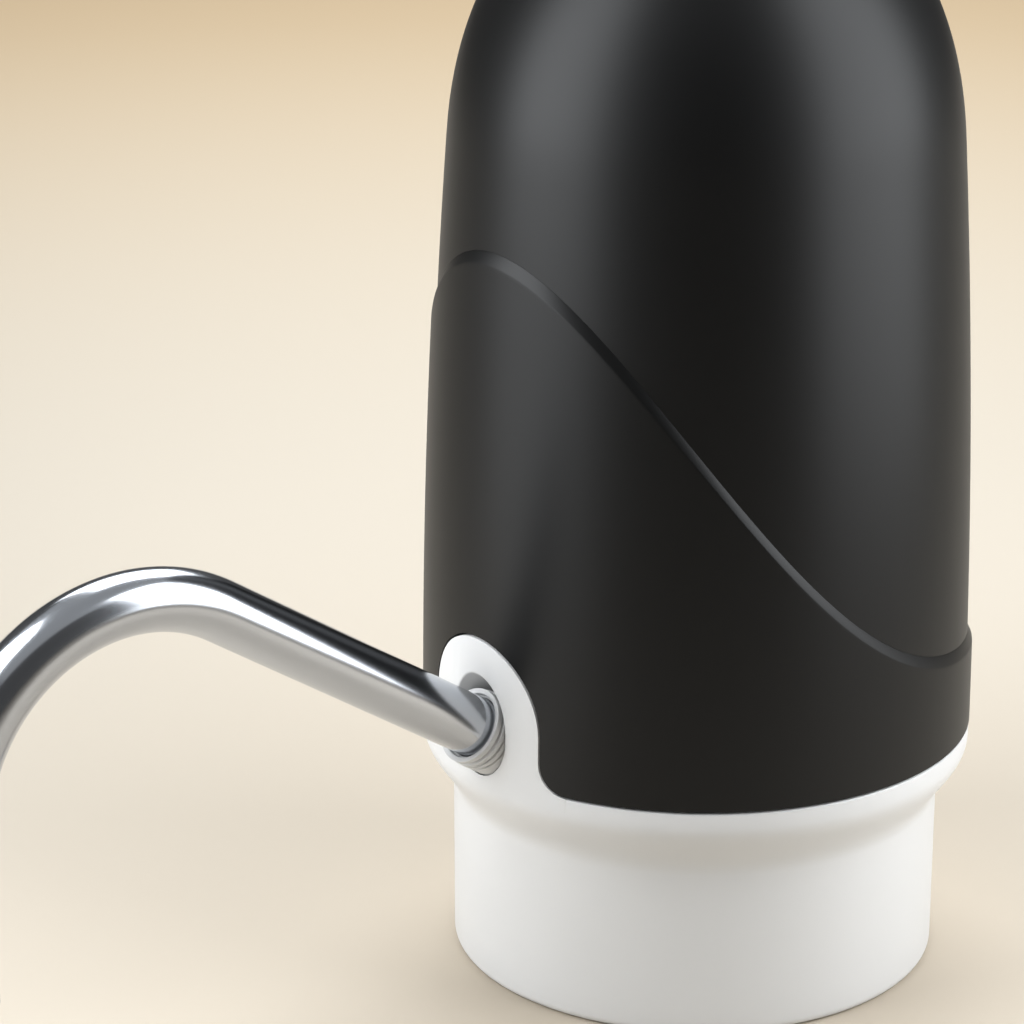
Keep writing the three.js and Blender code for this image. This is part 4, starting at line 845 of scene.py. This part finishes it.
def make_bush():
    """The pale bush that the tube leaves the case through, with its ribs and grooves."""
    outline = [(SPOUT_RADIUS + BUSH_FIT, BUSH_END), (BUSH_RADIUS - BUSH_CHAMFER, BUSH_END)]
    outline.append((BUSH_RADIUS, BUSH_END + BUSH_CHAMFER))
    ribbed = []
    for start, end, radius in BUSH_RIBS:
        ribbed += [(GROOVE_RADIUS, start - GROOVE_SLOPE), (radius, start)]
        ribbed += [(radius, end), (GROOVE_RADIUS, end + GROOVE_SLOPE)]
    outline += ribbed[1:-1]
    outline += [(SPOUT_RADIUS + away, along) for away, along in BUSH_MOUTH]
    piece = ring("spout_bush", outline)
    soften(piece, BUSH_ROUND, angle=25)
    at_spout(piece)
    settle(piece, "spout_seat", "pale_silicone", "spout_ferrule")


# The button in the crown


def make_button():
    """The button with its domed face, and the stem that presses the switch."""
    low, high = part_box("power_button")
    radius = high.x
    chamfer_top = BUTTON_UNDERSIDE + BUTTON_CHAMFER
    outline = [(0, BUTTON_UNDERSIDE), (radius - BUTTON_CHAMFER, BUTTON_UNDERSIDE), (radius, chamfer_top)]
    outline += arc((radius - BUTTON_ROUND, BUTTON_EDGE - BUTTON_ROUND), BUTTON_ROUND, 0, 80, steps=6)
    for share in BUTTON_ROWS:
        outline.append((radius * share, BUTTON_EDGE + (high.z - BUTTON_EDGE) * (1 - share * share)))
    outline.append((0, high.z))
    piece = ring("button_cap", outline)
    stem = [(0, low.z), (STEM_RADIUS, low.z), (STEM_RADIUS, chamfer_top), (0, chamfer_top)]
    weld(piece, spun("button_stem", stem, TUBE_STEPS))
    settle(piece, "button", "button_plastic", "power_button")


def make_trim():
    """The bright ring round the button, with a flange on the land."""
    low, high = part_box("button_trim_ring")
    outer = BUTTON_HOLE - GAP
    inner = outer - TRIM_WALL
    flange = high.z - TRIM_FLANGE
    outline = [(inner, low.z), (outer, low.z), (outer, flange), (high.x, flange)]
    outline += [(high.x, high.z), (inner, high.z)]
    piece = ring("button_trim", outline)
    soften(piece, TRIM_ROUND, segments=4)
    settle(piece, "pump_body", "polished_trim", "button_trim_ring")


def make_light_ring():
    """The light ring between the button and its bright ring."""
    low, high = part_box("button_light_ring")
    outline = [(LIGHT_RING_HOLE, low.z), (high.x, low.z), (high.x, high.z), (LIGHT_RING_HOLE, high.z)]
    piece = ring("light_ring", outline)
    soften(piece, LIGHT_RING_ROUND)
    settle(piece, "pump_body", "light_pipe", "button_light_ring")


# Under the collar


def make_seal():
    """The seal inside the collar: a flange above, and a skirt with two lips. The lower lip is its edge."""
    low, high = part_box("neck_gasket")
    outer, inner = high.x, high.x - SEAL_WALL
    flange_low = high.z - SEAL_FLANGE
    tip = inner - SEAL_LIP_REACH
    outline = [(outer, low.z), (outer, high.z), (SEAL_HOLE, high.z)]
    outline += [(SEAL_HOLE, flange_low), (inner, flange_low)]
    for z in (low.z + SEAL_LIP_PITCH, low.z):
        outline += [(inner, z + SEAL_LIP_HEIGHT), (tip, z + SEAL_LIP_EDGE), (tip, z), (inner, z)]
    piece = ring("neck_seal", outline[:-1])
    soften(piece, SEAL_ROUND)
    settle(piece, "pump_body", "pale_silicone", "neck_gasket")


def make_nipple():
    """The hose nipple: barbs below, a flange under the deck, and a tip that passes through the deck."""
    low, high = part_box("inlet_nipple")
    root, crest = NIPPLE_RADIUS - BARB_RISE, NIPPLE_RADIUS + BARB_RISE
    outline = [(NIPPLE_BORE, low.z)]
    for i in range(BARB_COUNT):
        z = low.z + BARB_PITCH * i
        outline += [(root, z), (crest, z + BARB_CREST_START), (crest, z + BARB_CREST_END)]
    flange_top = DECK_UNDERSIDE - GAP
    flange_low = flange_top - NIPPLE_FLANGE
    outline += [(NIPPLE_RADIUS, low.z + BARB_PITCH * BARB_COUNT), (NIPPLE_RADIUS, flange_low)]
    outline += [(NIPPLE_FLANGE_RADIUS, flange_low), (NIPPLE_FLANGE_RADIUS, flange_top)]
    outline += [(NIPPLE_NECK, flange_top), (NIPPLE_NECK, DECK_TOP + GAP)]
    outline += [(NIPPLE_TIP, DECK_TOP + GAP), (NIPPLE_TIP, high.z)]
    outline += [(NIPPLE_TIP_BORE, high.z), (NIPPLE_TIP_BORE, flange_low), (NIPPLE_BORE, flange_low)]
    piece = ring("hose_nipple", outline, TUBE_STEPS)
    soften(piece, NIPPLE_ROUND)
    settle(piece, "pump_body", "white_plastic", "inlet_nipple")


def dress_solids():
    """Gives each solid that still shows the material of its slot."""
    slots = {part["node"]: part["material_slot"] for part in frame["record"]["subparts"]}
    for name, node in nodes.items():
        node.data.materials.clear()
        node.data.materials.append(SLOT_LOOKS[slots[name]])


# The studio


def add_softbox(name, angle, distance, size, height, radiance):
    """An upright rectangular softbox that faces the pump's axis."""
    turn = math.radians(angle) + math.atan2(CAMERA_PLACE.y, CAMERA_PLACE.x)
    location = Vector((distance * math.cos(turn), distance * math.sin(turn), height))
    data = bpy.data.lights.new(name, "AREA")
    data.shape = "RECTANGLE"
    data.size, data.size_y = size
    data.energy = radiance * math.pi * size[0] * size[1]
    data.color = LAMP_COLOUR
    lamp = bpy.data.objects.new(name, data)
    bpy.context.scene.collection.objects.link(lamp)
    lamp.location = location
    lamp.rotation_euler = Vector((-location.x, -location.y, 0)).to_track_quat("-Z", "Y").to_euler()
    lamp.visible_camera = False
    return lamp


def light_studio():
    """A dim even surround, upright softboxes round the pump, and softboxes that look straight down."""
    world = bpy.data.worlds.new("studio")
    bpy.context.scene.world = world
    world.use_nodes = True
    background = world.node_tree.nodes["Background"]
    background.inputs["Color"].default_value = (1, 1, 1, 1)
    background.inputs["Strength"].default_value = WORLD_STRENGTH
    for softbox in UPRIGHT_SOFTBOXES:
        add_softbox(*softbox)
    for softbox in TOP_SOFTBOXES:
        lamp = add_softbox(*softbox)
        lamp.rotation_euler = (0, 0, 0)


def add_camera():
    """The camera at the place and angle that the photograph was taken from."""
    data = bpy.data.cameras.new("camera")
    data.lens = CAMERA_LENS
    data.sensor_width = CAMERA_SENSOR
    camera = bpy.data.objects.new("camera", data)
    bpy.context.scene.collection.objects.link(camera)
    camera.location = CAMERA_PLACE
    camera.rotation_euler = CAMERA_AIM.to_track_quat("-Z", "Y").to_euler()
    bpy.context.scene.camera = camera


def make_paper():
    """Pale paper on which the camera sees a painted pool of light near the pump, fading softly into painted
    shade away from it.
    """
    made = material("pale paper", PAPER_COLOUR, PAPER_ROUGHNESS)
    tree = made.node_tree
    coordinates = tree.nodes.new("ShaderNodeTexCoord")
    distance = tree.nodes.new("ShaderNodeVectorMath")
    distance.operation = "LENGTH"
    # This ramp paints the light and shade that the camera sees on the paper; the pump mirrors the plain paper
    # colour.
    painted_light_ramp = tree.nodes.new("ShaderNodeValToRGB")
    ramp = painted_light_ramp.color_ramp
    ramp.interpolation = "B_SPLINE"
    while len(ramp.elements) < len(PAPER_PAINTED_LIGHT):
        ramp.elements.new(0.5)
    for stop, (position, colour) in zip(ramp.elements, PAPER_PAINTED_LIGHT):
        stop.position = position
        stop.color = (*colour, 1)
    rays = tree.nodes.new("ShaderNodeLightPath")
    choice = tree.nodes.new("ShaderNodeMixRGB")
    choice.inputs["Color1"].default_value = (*PAPER_COLOUR, 1)
    tree.links.new(coordinates.outputs["Object"], distance.inputs[0])
    tree.links.new(distance.outputs["Value"], painted_light_ramp.inputs["Fac"])
    tree.links.new(rays.outputs["Is Camera Ray"], choice.inputs["Fac"])
    tree.links.new(painted_light_ramp.outputs["Color"], choice.inputs["Color2"])
    tree.links.new(choice.outputs["Color"], shader_of(made).inputs["Base Color"])
    return made


def add_floor():
    """A wide sheet of paper under the pump."""
    bpy.ops.object.select_all(action="DESELECT")
    bpy.ops.mesh.primitive_plane_add(size=FLOOR_SIZE, location=(0, 0, 0))
    floor = bpy.context.object
    floor.name = "floor"
    floor.data.materials.append(make_paper())


make_sleeve()
make_cover()
make_base()
make_spout()
make_bush()
make_button()
make_trim()
make_light_ring()
make_seal()
make_nipple()
dress_solids()
add_camera()
add_floor()
light_studio()
bpy.context.scene.view_settings.view_transform = "Standard"
